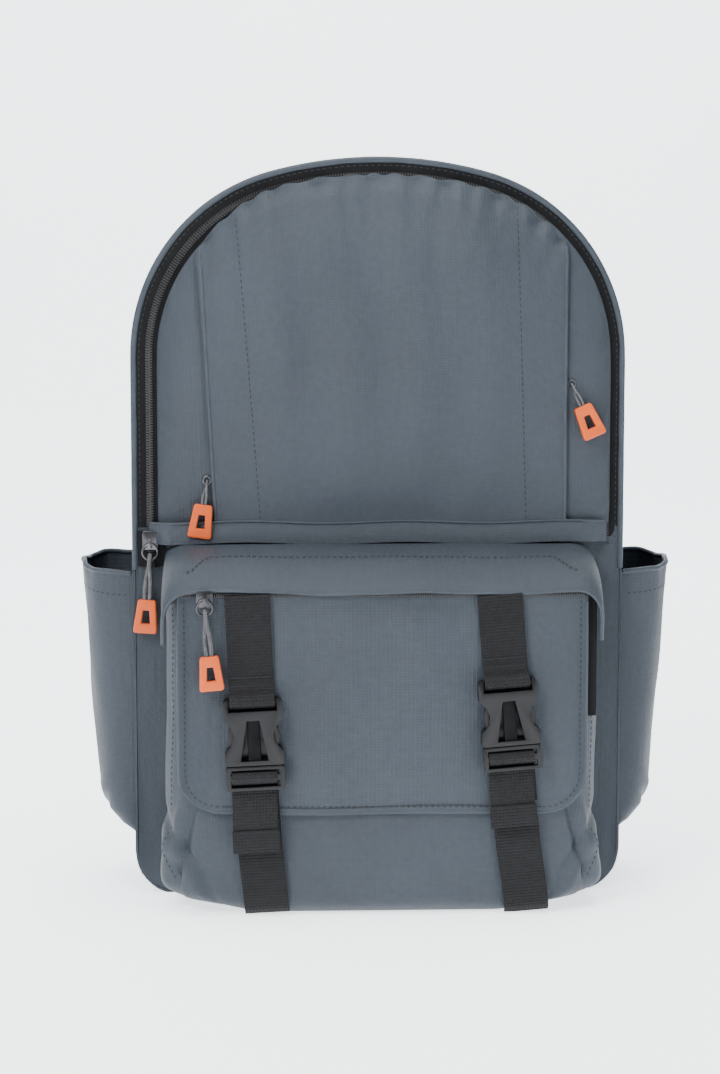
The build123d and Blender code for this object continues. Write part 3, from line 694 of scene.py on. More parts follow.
lower = sheet_piece("lower_front_cloth", lower_at, 90, 90, SHELL, 1.3, 0, (2 * HALF, HINGE), offset=0.0)
dress(lower, "pack", "shell_fabric", "lower_front_panel")
sleeve = sheet_piece(
    "laptop_sleeve_cloth",
    lambda s, t: ((s - 0.5) * 250, 38.5 - 1.2 * wave(s * 180, t * 260, 4.0), 7 + 277 * t),
    60, 60, LINING, 1.6, 0, (250, 277), offset=0.0)
dress(sleeve, "pack", "lining_fabric", "laptop_sleeve")
print("back, lower front and sleeve made")


# %% [markdown]
# The main zip runs up one side, over the top and down the other. Each half is a strip of tape with
# a row of teeth on its edge. The outer half stays on the body and the inner one opens with the front.
# %% Main zip
def arch_strip(name, inset_a, inset_b, y, material, low=HINGE, ripple=0.0, columns=300, rows=4, thickness=0.9):
    """A band that follows the arch between two insets."""
    outer, inner = arch_path(inset_a, y, low), arch_path(inset_b, y, low)

    def place(s, t):
        a, b = Vector(along(outer, s)), Vector(along(inner, s))
        p = a.lerp(b, t)
        p.y += ripple * math.sin(s * 150) * math.sin(math.pi * t)
        return p

    return sheet_piece(name, place, columns, rows, material, thickness, 0, (1.0, 0.1), offset=0.0)


outer_tape = arch_strip("main_zip_outer_tape", 1.4, 8.4, FRONT - 0.9, TAPE, ripple=0.15)
outer_teeth = beads("main_zip_outer_teeth", [arch_path(8.1, FRONT - 1.9)], 1.5, (1.3, 2.4, 0.7), COIL)
outer_zip = join_as("main_zip_outer_sewn", [outer_tape, outer_teeth])
dress(outer_zip, "pack", "zip_tape", "main_zip_outer")
inner_tape = arch_strip("main_zip_inner_tape", 9.4, 15.8, FRONT - 0.9, TAPE, 213.0, ripple=0.15)
inner_teeth = beads("main_zip_inner_teeth", [arch_path(9.7, FRONT - 1.9, 213.0)], 1.5, (1.3, 2.4, 0.7), COIL)
inner_zip = join_as("main_zip_inner_sewn", [inner_tape, inner_teeth])
dress(inner_zip, "front_panel", "zip_tape", "main_zip_inner")

# %% [markdown]
# On the side where the slider rests, the teeth run on a little below the hinge and end in a folded
# tape, so that the slider has somewhere to stop.
# %% Zip end
zip_end = sheet_piece(
    "main_zip_end_tape",
    lambda s, t: (-136.2 + 15.4 * s, FRONT - 3.2 - 0.5 * math.sin(math.pi * s), 188 + 20 * t + 3 * abs(s - 0.5)), 12, 24, TAPE, 1.0, 0, (15, 20), offset=0.0)
zip_end_teeth = beads("main_zip_end_teeth", [[(-128.8, FRONT - 4.2, 189), (-128.8, FRONT - 4.2, 207)]], 1.5, (1.3, 4.4, 0.9), COIL)
zip_end = join_as("main_zip_end_sewn", [zip_end, zip_end_teeth])
dress(zip_end, "pack", "zip_tape")
print("zip end made")

# %% [markdown]
# A narrow rolled edge of shell cloth closes the seam between the gusset and the zip, all round.
# %% Rolled rim
rim_path = [(x, y + 0.25 * math.sin(i * 0.9), z) for i, (x, y, z) in enumerate(arch_path(0.2, FRONT - 0.3, HINGE - 18))]
rim = tube("front_rim_roll", rim_path, 1.9, SHELL_CAD)
dress(rim, "pack", "shell_fabric")
back_rim_path = [(x, BACK - 5.0 + 0.25 * math.sin(i * 0.8), z) for i, (x, z) in enumerate(whole_outline(0.2)[:-1])]
back_rim = tube("back_rim_roll", back_rim_path, 2.0, SHELL_CAD, cyclic=True)
dress(back_rim, "pack", "shell_fabric")
rim_stitch = beads("rim_stitches", [arch_path(3.2, FRONT - 1.5)], 3.4, (2.0, 0.5, 0.25), THREAD)
dress(rim_stitch, "pack", "shell_fabric")

# %% [markdown]
# The front panel is a middle cloth between two side cloths, with a zip under each folded edge. The
# middle swells with the load, and gathers into short ripples where it is sewn to the curved zip.
# %% Front panel cloths
SEAM = 214.0
LEAN = math.tan(math.radians(3.0))


def left_fold(z):
    """The left folded edge of the middle cloth."""
    return -92.0 - (z - SEAM) * LEAN


def right_fold(z):
    """The right folded edge of the middle cloth."""
    return 105.0


def cloth_edge(x):
    """How far inside the outline the front cloth ends: it swells over the zip at the top and right."""
    return 14.4 - 6.2 * smooth((x + 112) / 60)


def gathers(x, z, reach=16.0):
    """Ripples that fade away from the arch seam."""
    depth = arch_top(x, cloth_edge(x)) - z
    side = HALF - cloth_edge(x) - abs(x)
    gap = min(depth, side * 1.2)
    turn = math.atan2(z - CROWN_Z, x)
    wide = math.sin(turn * 58 + 1.5 * math.sin(turn * 17)) + 0.6 * math.sin(turn * 97 + 1)
    return 1.25 * wide * math.exp(-max(gap, 0) / reach) * smooth(gap / 3.0)


def centre_depth(x, z):
    """How far forward the middle cloth stands."""
    lo, hi = left_fold(z), right_fold(z)
    edge = smooth((x - lo) / 46) * smooth((hi - x) / 46)
    tall = smooth((z - SEAM + 18) / 60) * smooth((arch_top(x, cloth_edge(x)) - z) / 46)
    swell = 5.6 * edge * tall
    crease = 2.4 * wave(x * 1.3, z * 0.9, 5.0) * edge * smooth((z - SEAM) / 20)
    drape = 0.9 * math.sin(x * 0.16 + 2.2 * math.sin(z * 0.014 + 1)) * edge * smooth((z - SEAM) / 30)
    top = 3.2 * smooth((12 - (arch_top(x, cloth_edge(x)) - z)) / 12)
    return FRONT - 6.9 + top - swell - crease - drape - gathers(x, z)


def centre_at(s, t):
    """A point of the middle cloth."""
    z_guess = SEAM + (arch_top(0, 9) - SEAM) * t
    lo, hi = left_fold(z_guess), right_fold(z_guess)
    x = lo + (hi - lo) * s
    z = SEAM - 1.0 + 0.9 * math.sin(x * 0.07 + 0.5) * (1 - t) + (arch_top(x, cloth_edge(x) + 0.7 * math.sin(x * 0.42 + 1.4 * math.sin(x * 0.09))) - SEAM + 1.0) * t
    return (x, centre_depth(x, z), z)


centre = sheet_piece("front_centre_cloth", centre_at, 190, 170, SHELL, 1.2, 0, (200, 190), offset=0.0)
dress(centre, "front_panel", "shell_fabric", "front_centre_panel")


def side_cloth(name, sign, node):
    """The cloth between the main zip and one placket zip."""
    def place(s, t):
        z_low = SEAM - 0.5
        rim_gap = 13.8 if sign < 0 else 7.4
        outer = HALF - rim_gap
        fold = -left_fold(SEAM + 150 * t) if sign < 0 else right_fold(SEAM)
        x = (fold - 7.0) + (outer - fold + 7.0) * math.sin(s * math.pi / 2)
        z = z_low + (arch_top(min(x, outer), rim_gap) - z_low) * t
        swell = 1.6 * math.sin(math.pi * s) * smooth(t * 6) * smooth((1 - t) * 5)
        y = FRONT - 3.4 + (1.2 if sign < 0 else 0.0) * smooth(s * 3 - 2) - swell - 0.5 * wave(x * 2.0, z, 6.0) * smooth(t * 8) - 0.5 * gathers(x * sign, z, 8)
        return (x * sign, y, z)

    obj = sheet_piece(name, place, 24, 150, SHELL, 1.1, 0, (34, 180), flip=sign > 0, offset=0.0)
    dress(obj, "front_panel", "shell_fabric", node)
    return obj


side_cloth("front_side_cloth_left", -1, "front_side_panel_left")
side_cloth("front_side_cloth_right", 1, "front_side_panel_right")
print("front panel cloths made")

# %% [markdown]
# Each placket zip lies under a folded edge. The fold is a soft roll with a stitched line behind it.
# %% Placket edges and stitches
def fold_path(edge, low, high, offset=0.0, lift=0.9):
    """A line beside a folded edge, on the middle cloth."""
    path = []
    for i in range(40):
        z = low + (high - low) * i / 39
        x = edge(z) + offset
        path.append((x, centre_depth(x, z) - lift, z))
    return path


left_high = arch_top(-101, 15)
right_high = arch_top(105, 9)
for side, edge, high, node, sign in (("left", left_fold, left_high, "placket_zip_left", -1), ("right", right_fold, right_high, "placket_zip_right", 1)):
    roll = tube(side + "_placket_fold", fold_path(edge, SEAM + 1, high - 2, 0.0, -0.1), 1.3, SHELL_CAD)
    dress(roll, "front_panel", "shell_fabric")
    tape = sheet_piece(
        side + "_placket_tape",
        lambda s, t, edge=edge, high=high, sign=sign: (edge(SEAM + (high - SEAM - 4) * t) + sign * (-9 + 11.5 * s), FRONT - 3.0 - 0.5 * math.sin(math.pi * s), SEAM + 1 + (high - SEAM - 5) * t),
        8, 80, TAPE, 0.8, 0, (12, 150), flip=sign > 0, offset=0.0)
    line = [(edge(z) + sign * -3.2, FRONT - 4.3, z) for z in (SEAM + 2, SEAM + 60, high - 6)]
    teeth = beads(side + "_placket_teeth", [line], 1.25, (1.0, 3.0, 0.7), COIL)
    zip_piece = join_as(side + "_placket_zip_sewn", [tape, teeth])
    dress(zip_piece, "front_panel", "zip_tape", node)
lines = []
for i, (low_x, high_x) in enumerate(((-67.0, -80.0), (83.0, 77.0))):
    path = []
    for k in range(50):
        t = k / 49
        x = low_x + (high_x - low_x) * t
        z = SEAM + 3 + (arch_top(x, cloth_edge(x) + 2) - SEAM - 4) * t
        path.append((x, centre_depth(x, z) - 0.75, z))
    lines.append(path)
seam_stitch = beads("front_panel_stitches", lines, 3.4, (2.1, 0.55, 0.28), THREAD)
dress(seam_stitch, "front_panel", "shell_fabric")
pouch = sheet_piece(
    "upper_pocket_cloth",
    lambda s, t: ((s - 0.5) * 184, FRONT + 4.5 + 6.0 * math.sin(math.pi * s) * math.sin(math.pi * t) + 0.8 * wave(s * 150, t * 150, 7.0), 218 + 136 * t),
    50, 40, LINING, 1.2, 0, (184, 136), offset=0.0)
dress(pouch, "front_panel", "lining_fabric", "upper_pocket_bag")

# %% [markdown]
# Below the seam a smooth band carries the front panel, and below it the brow slopes forward over
# the big pocket like an awning.
# %% Band and brow
def band_at(s, t):
    """The band under the seam."""
    x = (s - 0.5) * 2 * 129.5
    z = 202.5 + 11.8 * t + 0.7 * math.sin(x * 0.07 + 0.5)
    side = smooth((129.5 - abs(x)) / 12)
    return (x, FRONT - 3.0 - 4.8 * side - 1.0 * math.sin(math.pi * t) * side - 2.6 * (1 - t) ** 2 * side, z)


band = sheet_piece("front_band_cloth", band_at, 150, 14, SHELL, 1.2, 0, (245, 12), offset=0.0)
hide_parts("front_band")
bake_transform(band)
seam_roll = tube(
    "seam_roll", [(x, FRONT - 3.4 - 5.2 * smooth((129.5 - abs(x)) / 12), 214.3 + 0.7 * math.sin(x * 0.07 + 0.5)) for x in range(-129, 130, 6)],
    0.7, SHELL_CAD)
dress(seam_roll, "front_panel", "shell_fabric")


def brow_at(s, t):
    """A point of the brow, from its seam at t=0 to its lip at t=1."""
    x = (s - 0.5) * 2
    flat = 107.0
    arc = 122.0 + 16.0
    run = abs(x) * arc
    radius = 13.0
    if run <= flat:
        px, drop = run, 0.0
    else:
        a = min((run - flat) / radius, math.pi / 2)
        px = flat + radius * math.sin(a)
        drop = radius * (1 - math.cos(a)) + max(run - flat - radius * math.pi / 2, 0.0)
    px = math.copysign(px, x)
    turn = t * math.pi / 2
    y = -34.5 - 53.6 * math.sin(turn) ** 1.1
    z = 201.6 - 20.9 * (1 - math.cos(turn)) ** 1.1 + 0.8 * math.sin(px * 0.06) * t
    z += 0.9 * wave(px * 1.5, y * 3, 8.0) * smooth(t * 4)
    y -= 0.7 * math.sin(px * 0.045 + 1) * t
    return (px, y + 2.4 * (drop / radius) * t, z - drop * (0.5 + 0.7 * t))


brow = sheet_piece("brow_cloth", brow_at, 190, 40, SHELL, 1.5, 0, (276, 60), offset=0.0)
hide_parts("pocket_hood")
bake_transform(brow)
lip_path = [brow_at(i / 90, 1.0) for i in range(91)]
lip = tube("brow_lip_roll", lip_path, 1.2, SHELL_CAD)
dress(lip, "flap", "shell_fabric")
brow_line = []
for i in range(80):
    s = 0.115 + 0.775 * i / 79
    x, y, z = brow_at(s, 0.46 + 0.26 * smooth((abs(s - 0.5) - 0.34) * 22))
    brow_line.append((x, y - 0.55, z + 1.1))
brow_stitch = beads("brow_stitches", [brow_line], 3.4, (2.3, 0.9, 0.6), THREAD, out=(0, -0.8, 1))
dress(brow_stitch, "pack", "shell_fabric")
print("band and brow made")


# %% [markdown]
# The big pocket is a tub of cloth: a front, two sides and a bottom in one sheet, turned round soft
# corners. Cloth folds where it turns at the lower corners, so deep pleats are pressed in there.
# %% Big pocket
POCKET_PLAN = []
for sign in (-1, 1):
    corner = []
    for i in range(9):
        a = math.pi / 2 * i / 8
        corner.append((sign * (POCKET_HALF - 18 + 18 * math.cos(a)), POCKET_FRONT + 18 - 18 * math.sin(a)))
    chain = [(sign * POCKET_HALF, FRONT - 1.8)] + corner
    POCKET_PLAN += chain if sign < 0 else list(reversed(chain))
POCKET_RUN = sum(math.dist(a, b) for a, b in zip(POCKET_PLAN, POCKET_PLAN[1:]))


def pleat(value, centre_line, width):
    """A sharp valley with a rounded ridge beside it."""
    d = (value - centre_line) / width
    return -math.exp(-d * d * 5) + 0.75 * math.exp(-((d - 0.75) ** 2) * 3)


def pocket_at(s, t):
    """A point of the pocket cloth, from its rim at t=0 to the bottom's back seam at t=1."""
    x, y = along(POCKET_PLAN, s)
    wall, turn = 0.76, 0.86
    middle = Vector((0, -40, 0))
    out = (Vector((x * 0.35, y, 0)) - middle).normalized() if abs(x) < POCKET_HALF - 6 else Vector((math.copysign(1, x), -0.25, 0)).normalized()
    radius = 11.0
    if t < wall:
        z = 178 - (178 - radius) * t / wall
        pull = 0.0
    elif t < turn:
        a = math.pi / 2 * (t - wall) / (turn - wall)
        z = radius - radius * math.sin(a)
        pull = radius * (1 - math.cos(a))
    else:
        z = 0.0
        pull = radius + 60 * (t - turn) / (1 - turn)
    low = smooth((95 - z) / 70) * smooth(z / 9 + 0.25)
    swell = 3.4 * math.sin(math.pi * min(max(s, 0.0), 1.0)) * low
    side = smooth((abs(x) - 70) / 45)
    crease = side * low * 4.4 * (pleat(abs(x) + 0.22 * z, 116.5, 6.5) + 0.55 * pleat(abs(x) - 0.55 * z, 90.0, 8))
    calm = 1 - 0.85 * math.exp(-(((abs(x) - 70) / 17) ** 2)) * smooth((-60 - y) / 15)
    ripple = 1.4 * calm * wave(x * 1.8, z * 2.2, 9.0) * smooth(z / 12) + 0.5 * math.sin(x * 0.33) * math.exp(-z / 14) * smooth(z / 4)
    grow = (swell + crease + ripple) * (1 if t < turn else max(0.0, 1 - (t - turn) * 9) * 0.3)
    px, py = x + out.x * grow, y + out.y * grow
    if pull:
        px -= math.copysign(min(pull, radius), px) * smooth((abs(px) - 60) / 50)
        py = py + min(pull, FRONT - 2 - py)
    lift = 6.5 * smooth((abs(x) - 60) / 56) * smooth(t / wall * 2.5 - 1.5)
    return (px, min(py, FRONT - 1.6), max(z + lift, 0.5))


pocket = sheet_piece("front_pocket_cloth", pocket_at, 260, 130, SHELL, 1.4, 0, (POCKET_RUN, 240), offset=0.0)
dress(pocket, "pack", "shell_fabric", "front_pocket")
pocket_seam = []
for s_seam, hand in ((0.132, -1), (0.868, 1)):
    pocket_seam.append([tuple(Vector(pocket_at(s_seam, 0.02 + 0.74 * i / 60)) + Vector((hand * 0.3, -0.62, 0))) for i in range(61)])
pocket_stitch = beads("pocket_stitches", pocket_seam, 3.4, (2.1, 0.6, 0.35), THREAD)
dress(pocket_stitch, "pack", "shell_fabric")
print("pocket cloth is", round(POCKET_RUN), "mm round")

# %% [markdown]
# The flap hangs over the pocket's mouth. Its edge is turned in and stitched, its foot corners are
# round, and the load behind it and the straps across it leave shallow hollows.
# %% Flap
FLAP_R = 22.0


def flap_bottom(x):
    """Height of the flap's lower edge at x."""
    reach = abs(x) - (FLAP_HALF - FLAP_R)
    curve = FLAP_R - math.sqrt(max(FLAP_R**2 - max(reach, 0.0) ** 2, 0.0))
    return FLAP_FOOT + curve + 0.7 * math.sin(x * 0.05)


def flap_depth(x, z):
    """How far forward the flap's middle surface stands."""
    inner = smooth((FLAP_HALF - abs(x)) / 26) * smooth((z - flap_bottom(x)) / 26) * smooth((LIP - z) / 20)
    strap = math.exp(-((abs(x) - 70) / 17) ** 2)
    load = 2.0 * smooth((FLAP_HALF - abs(x)) / 90) * (1 - 0.75 * strap)
    crease = 1.7 * wave(x * 1.2, z * 1.1, 10.0) + 0.5 * math.sin(x * 0.16 + 1.6 * math.sin(z * 0.03))
    hem = 0.35 * smooth(1 - abs((FLAP_HALF - abs(x)) - 2.0) / 3.0)
    return -(85.0 + inner * (load + crease * (1 - 0.8 * strap)) + hem)


def flap_at(s, t):
    """A point of the flap."""
    x = FLAP_HALF * math.sin((2 * s - 1) * math.pi / 2)
    z = flap_bottom(x) + (LIP + 0.6 - flap_bottom(x)) * t
    return (x, flap_depth(x, z), z)


flap = sheet_piece("flap_cloth", flap_at, 190, 110, SHELL, 1.5, 0, (224, 124), offset=0.0)
dress(flap, "flap", "shell_fabric", "flap")


def flap_loop(inset):
    """A line inside the flap's side and lower edges, from top left round to top right."""
    r = FLAP_R - inset
    path = []
    for i in range(40):
        path.append((-(FLAP_HALF - inset), LIP - 4 - (LIP - 4 - FLAP_FOOT - FLAP_R) * i / 40))
    for i in range(12):
        a = math.pi + math.pi / 2 * i / 12
        path.append((-(FLAP_HALF - FLAP_R) + r * math.cos(a), FLAP_FOOT + FLAP_R + r * math.sin(a)))
    for i in range(60):
        path.append((-(FLAP_HALF - FLAP_R) + 2 * (FLAP_HALF - FLAP_R) * i / 60, FLAP_FOOT + inset))
    whole = path + [(-x, z) for x, z in reversed(path)]
    return [(x, flap_depth(x, z) - 0.95, z + 0.7 * math.sin(x * 0.05)) for x, z in whole]


flap_stitch = beads("flap_stitches", [flap_loop(3.6)], 3.3, (2.0, 0.55, 0.28), THREAD)
dress(flap_stitch, "flap", "shell_fabric")
flap_edge = tube("flap_edge_roll", [(x, y + 1.2, z) for x, y, z in flap_loop(0.4)][::3], 1.15, SHELL_CAD)
dress(flap_edge, "flap", "shell_fabric")
flap_zip = sheet_piece(
    "pocket_zip_flap_tape", lambda s, t: ((s - 0.5) * 222, -86.6, 178.4 + 2.6 * t), 80, 3, TAPE, 0.8, 0, (222, 4), offset=0.0)
flap_teeth = beads("pocket_zip_teeth", [[(-110, -86.9, 179.2), (110, -86.9, 179.2)]], 1.3, (1.1, 2.6, 0.7), COIL)
flap_zip = join_as("pocket_zip_flap_sewn", [flap_zip, flap_teeth])
dress(flap_zip, "flap", "zip_tape", "pocket_zip_flap")
fixed_zip = sheet_piece(
    "pocket_zip_fixed_tape", lambda s, t: (-112 + 230 * s, -82.8, 177.2 + 6.4 * t), 80, 4, TAPE, 0.9, 0, (230, 7), offset=0.0)
side_tape = sheet_piece(
    "pocket_zip_side_tape", lambda s, t: (111.2 + 6.4 * s, -82.6 + 0.7 * s, 111 + 70 * t), 5, 60, TAPE, 0.9, 0, (7, 70), offset=0.0)
side_teeth = beads("pocket_side_teeth", [[(111.6, -83.4, 111), (111.6, -83.4, 180)]], 1.3, (1.1, 2.6, 0.7), COIL)
fixed_zip = join_as("pocket_zip_fixed_sewn", [fixed_zip, side_tape, side_teeth])
dress(fixed_zip, "pack", "zip_tape", "pocket_zip_fixed")
print("flap made")

# %% [markdown]
# A side pocket is an open bag sewn to the gusset. Its rim has a stitched hem, and its floor gathers
# into pleats at the corner.
# %% Side pockets
SIDE_EDGE = [(188, 171), (120, 166.5), (57, 161), (46, 157), (38, 149), (33, 139.2)]


def side_reach(z):
    """How far out the pocket stands at a height."""
    for (z_a, x_a), (z_b, x_b) in zip(SIDE_EDGE, SIDE_EDGE[1:]):
        if z >= z_b:
            k = (z_a - z) / (z_a - z_b)
            return x_a + (x_b - x_a) * min(max(k, 0.0), 1.0)
    return SIDE_EDGE[-1][1]


def side_pocket(name, sign, node):
    """One open pocket on the gusset."""
    def place(s, t):
        z = 188 - 155 * (t ** 0.9)
        reach = side_reach(z) - HALF
        a = math.pi * s
        x = HALF - 0.8 + reach * abs(math.sin(a)) ** 0.62
        y = 9 - 31 * math.copysign(abs(math.cos(a)) ** 0.8, math.cos(a))
        front = smooth(1 - s * 2.2)
        rim = math.exp(-((188 - z) / 6.0) ** 2)
        z_out = z - 4.5 * front * smooth((z - 130) / 60) + 0.8 * math.sin(s * 17) * rim + 2.0 * smooth(s * 1.4 - 0.4) * rim
        swell = math.sin(a) * (1.2 * wave(y * 3, z * 1.8, 11.0 + sign) + 1.6 * pleat(z - 0.8 * abs(y), 44, 9) * smooth((90 - z) / 50))
        ripple = 0.5 * math.sin(s * 40) * math.exp(-(188 - z) / 20) * math.sin(a)
        return (sign * (x + swell + ripple), y, z_out)

    obj = sheet_piece(name, place, 90, 110, SHELL, 1.5, 0, (130, 155), flip=sign < 0, offset=0.0)
    dress(obj, "pack", "shell_fabric", node)
    row = []
    for i in range(61):
        outwards = Vector((sign * 0.9 * math.sin(math.pi * i / 60), -0.9 * math.cos(math.pi * i / 60), 0))
        row.append(tuple(Vector(place(0.03 + 0.94 * i / 60, 0.062)) + outwards))
    stitch = beads(name + "_stitches", [row], 3.3, (2.0, 0.5, 0.28), THREAD, out=(sign, -0.4, 0))
    dress(stitch, "pack", "shell_fabric")
    hem = tube(name + "_hem", [place(0.01 + 0.98 * i / 40, 0.0) for i in range(41)], 1.5, SHELL_CAD)
    dress(hem, "pack", "shell_fabric")
    return obj


side_pocket("side_pocket_cloth_left", -1, "side_pocket_left")
side_pocket("side_pocket_cloth_right", 1, "side_pocket_right")
print("side pockets made")

# %% [markdown]
# The webbing is a flat ribbon with crosswise ribs. Each strap leans a little, so its parts are laid
# out in the strap's own frame: u runs across it and v up it, from the mouth of its buckle.
# %% Front straps
STRAPS = {"left": (-70.0, 87.0, 2.5), "right": (70.0, 97.0, 4.5)}
for side in STRAPS:
    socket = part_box("buckle_socket_" + side)
    print(side, "socket spans", [round(v / MM, 1) for v in socket[0]], [round(v / MM, 1) for v in socket[1]])


def strap_frame(side):
    """The strap's mouth, its across direction and its up direction."""
    x, z, lean = STRAPS[side]
    a = math.radians(lean)
    return Vector((x, 0, z)), Vector((math.cos(a), 0, math.sin(a))), Vector((-math.sin(a), 0, math.cos(a)))


def strap_path(side, spots, shift=0.0):
    """Points (v, y) of a strap turned into 3D points, drifting across by shift at its far end."""
    mouth, across, up = strap_frame(side)
    last = len(spots) - 1
    return [tuple(mouth + up * v + across * (shift * smooth(i / last)) + Vector((0, y, 0))) for i, (v, y) in enumerate(spots)]


def strap(name, side, spots, width=24.6, rib=0.16, thickness=1.3, shift=0.0):
    """One ribbed ribbon along a strap's path."""
    smooth_spots = []
    for (v_a, y_a), (v_b, y_b) in zip(spots, spots[1:]):
        steps = max(int(math.dist((v_a, y_a), (v_b, y_b)) / 1.2), 1)
        smooth_spots += [(v_a + (v_b - v_a) * i / steps, y_a + (y_b - y_a) * i / steps) for i in range(steps)]
    smooth_spots.append(spots[-1])
    for _ in range(2):
        smooth_spots = [smooth_spots[0]] + [
            tuple((a[k] + 2 * b[k] + c[k]) / 4 for k in (0, 1)) for a, b, c in zip(smooth_spots, smooth_spots[1:], smooth_spots[2:])
        ] + [smooth_spots[-1]]
    return ribbon(name, strap_path(side, smooth_spots, shift), width, strap_frame(side)[1], WEBBING, thickness, rib)


TAIL_END = {"left": -49.0, "right": -46.0}
for side in STRAPS:
    top_v = 89.0 if side == "left" else 79.0
    upper = strap(side + "_upper_strap", side, [
        (top_v + 3.2, -88.0), (top_v - 6, -88.2), (60, -88.2), (44, -88.1), (39.5, -89.6), (38.6, -92.4), (36.6, -94.6), (33.4, -94.9),
        (31.3, -93.2), (31.2, -90.4), (33.6, -88.9), (36.6, -88.5)])
    dress(upper, "flap", "webbing", "upper_webbing_" + side)
    box_stitch = []
    mouth, across, up = strap_frame(side)
    for v in (43.0, 47.5):
        box_stitch.append([tuple(mouth + up * v + across * (-11 + 22 * i / 20) + Vector((0, -89.3, 0))) for i in range(21)])
    bar = beads(side + "_upper_bartack", box_stitch, 1.6, (1.5, 0.5, 0.3), THREAD)
    dress(bar, "flap", "webbing")
    tail_end = TAIL_END[side]
    tail = strap(side + "_strap_tail_ribbon", side, [
        (-33.0, -87.9), (-22, -87.9), (-12.5, -88.4), (-10.4, -90.4), (-10.2, -94.0), (-8.6, -96.0), (-5.4, -96.1), (-3.9, -94.2),
        (-3.9, -91.4), (-5.6, -89.9), (-10.5, -90.0), (-16, -90.3), (-30, -90.5), (tail_end, -90.6)], shift=-1.6)
    dress(tail, side + "_plug", "webbing", "strap_tail_" + side)
    hem_rows = []
    for v in (tail_end + 3.0, tail_end + 11.0):
        hem_rows.append([tuple(mouth + up * v + across * (-11 + 22 * i / 20) + Vector((0, -91.5, 0))) for i in range(21)])
    fold = strap(side + "_tail_hem", side, [(tail_end - 0.4, -91.0), (tail_end + 6, -91.4), (tail_end + 12, -91.3)], 25.6, 0.14, 1.8)
    for vertex in fold.data.vertices:
        vertex.co += across * (-1.4 * MM)
    tacks = beads(side + "_tail_tacks", hem_rows, 1.6, (1.5, 0.5, 0.6), THREAD)
    dress(fold, side + "_plug", "webbing")
    dress(tacks, side + "_plug", "webbing")
    lower_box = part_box("lower_strap_" + side)
    v_low = lower_box[0][2] / MM - STRAPS[side][1]
    v_high = lower_box[1][2] / MM - STRAPS[side][1]
    low = strap(side + "_lower_strap_ribbon", side, [(v_high, -85.4), (v_high - 12, -85.6), (v_low + 10, -85.8), (v_low + 1, -85.4), (v_low - 6, -83.6), (v_low - 9.5, -78.0)], shift=2.6)
    dress(low, "pack", "webbing", "lower_strap_" + side)
print("front straps made")


# %% [markdown]
# Back pads and shoulder straps are foam in a mesh sleeve. A slightly small blank is remeshed and
# swollen by a short cloth simulation. Most points would swell past the cap that is set below, so it
# is the cap, more than the simulation, that gives the pads and straps their shape.
# %% Padded pieces
def blank(name, outline, y_low, y_high):
    """A flat closed blank from an (x, z) outline, between two depths."""
    deselect()
    mesh = bpy.data.meshes.new(name)
    work = bmesh.new()
    front = [work.verts.new(Vector((x, y_low, z)) * MM) for x, z in outline]
    back = [work.verts.new(Vector((x, y_high, z)) * MM) for x, z in outline]
    work.faces.new(front)
    work.faces.new(list(reversed(back)))
    for i in range(len(outline)):
        j = (i + 1) % len(outline)
        work.faces.new((front[j], front[i], back[i], back[j]))
    bmesh.ops.recalc_face_normals(work, faces=work.faces)
    work.to_mesh(mesh)
    work.free()
    obj = bpy.data.objects.new(name, mesh)
    bpy.context.scene.collection.objects.link(obj)
    return obj


def stuffed(obj, material, cap=5.0, pressure=4.0):
    """Remesh a blank and swell it by cloth simulation, with its movement capped."""
    deselect()
    obj.select_set(True)
    bpy.context.view_layer.objects.active = obj
    remesh = obj.modifiers.new("remesh", "REMESH")
    remesh.mode = "VOXEL"
    remesh.voxel_size = 0.004
    bpy.ops.object.modifier_apply(modifier=remesh.name)
    before = [v.co.copy() for v in obj.data.vertices]
    cloth = obj.modifiers.new("cloth", "CLOTH")
    cloth.settings.use_pressure = True
    cloth.settings.uniform_pressure_force = pressure
    cloth.settings.effector_weights.gravity = 0.0
    cloth.settings.quality = 5
    for number in range(1, 21):
        bpy.context.scene.frame_set(number)
    bpy.context.view_layer.objects.active = obj
    bpy.ops.object.modifier_apply(modifier=cloth.name)
    bpy.context.scene.frame_set(1)
    moves = [(vertex.co - start).length / MM for vertex, start in zip(obj.data.vertices, before)]
    capped = sum(move > cap for move in moves)
    print(obj.name, "swelled up to", round(max(moves), 1), "mm,", capped, "of", len(moves), "points at the cap")
    for vertex, start in zip(obj.data.vertices, before):
        move = vertex.co - start
        if move.length > cap * MM:
            vertex.co = start + move.normalized() * cap * MM
    finish_mesh(obj, material, levels=1, angle=80)
    return obj


def rounded_box(x_low, x_high, z_low, z_high, radius):
    """A rounded rectangle outline."""
    points = []
    for cx, cz, start in ((x_high - radius, z_high - radius, 0), (x_low + radius, z_high - radius, 90), (x_low + radius, z_low + radius, 180), (x_high - radius, z_low + radius, 270)):
        for i in range(7):
            a = math.radians(start + 15 * i)
            points.append((cx + radius * math.cos(a), cz + radius * math.sin(a)))
    return points


for side, sign in (("left", -1), ("right", 1)):
    low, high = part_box("back_pad_" + side)
    outline = rounded_box(low[0] / MM + 1.5, high[0] / MM - 1.5, low[2] / MM + 1.5, high[2] / MM - 1.5, 13)
    pad = stuffed(blank("back_pad_foam_" + side, outline, BACK - 0.5, BACK + 6.0), MESH, 4.0)
    dress(pad, "pack", "pad_mesh", "back_pad_" + side)
    piping_points = [(x, BACK + 0.8, z) for x, z in rounded_box(low[0] / MM, high[0] / MM, low[2] / MM, high[2] / MM, 14)]
    piping = tube("back_pad_piping_" + side, piping_points, 1.3, TAPE, cyclic=True)
    dress(piping, "pack", "pad_mesh")
    print(pad.name, len(pad.data.polygons), "faces")

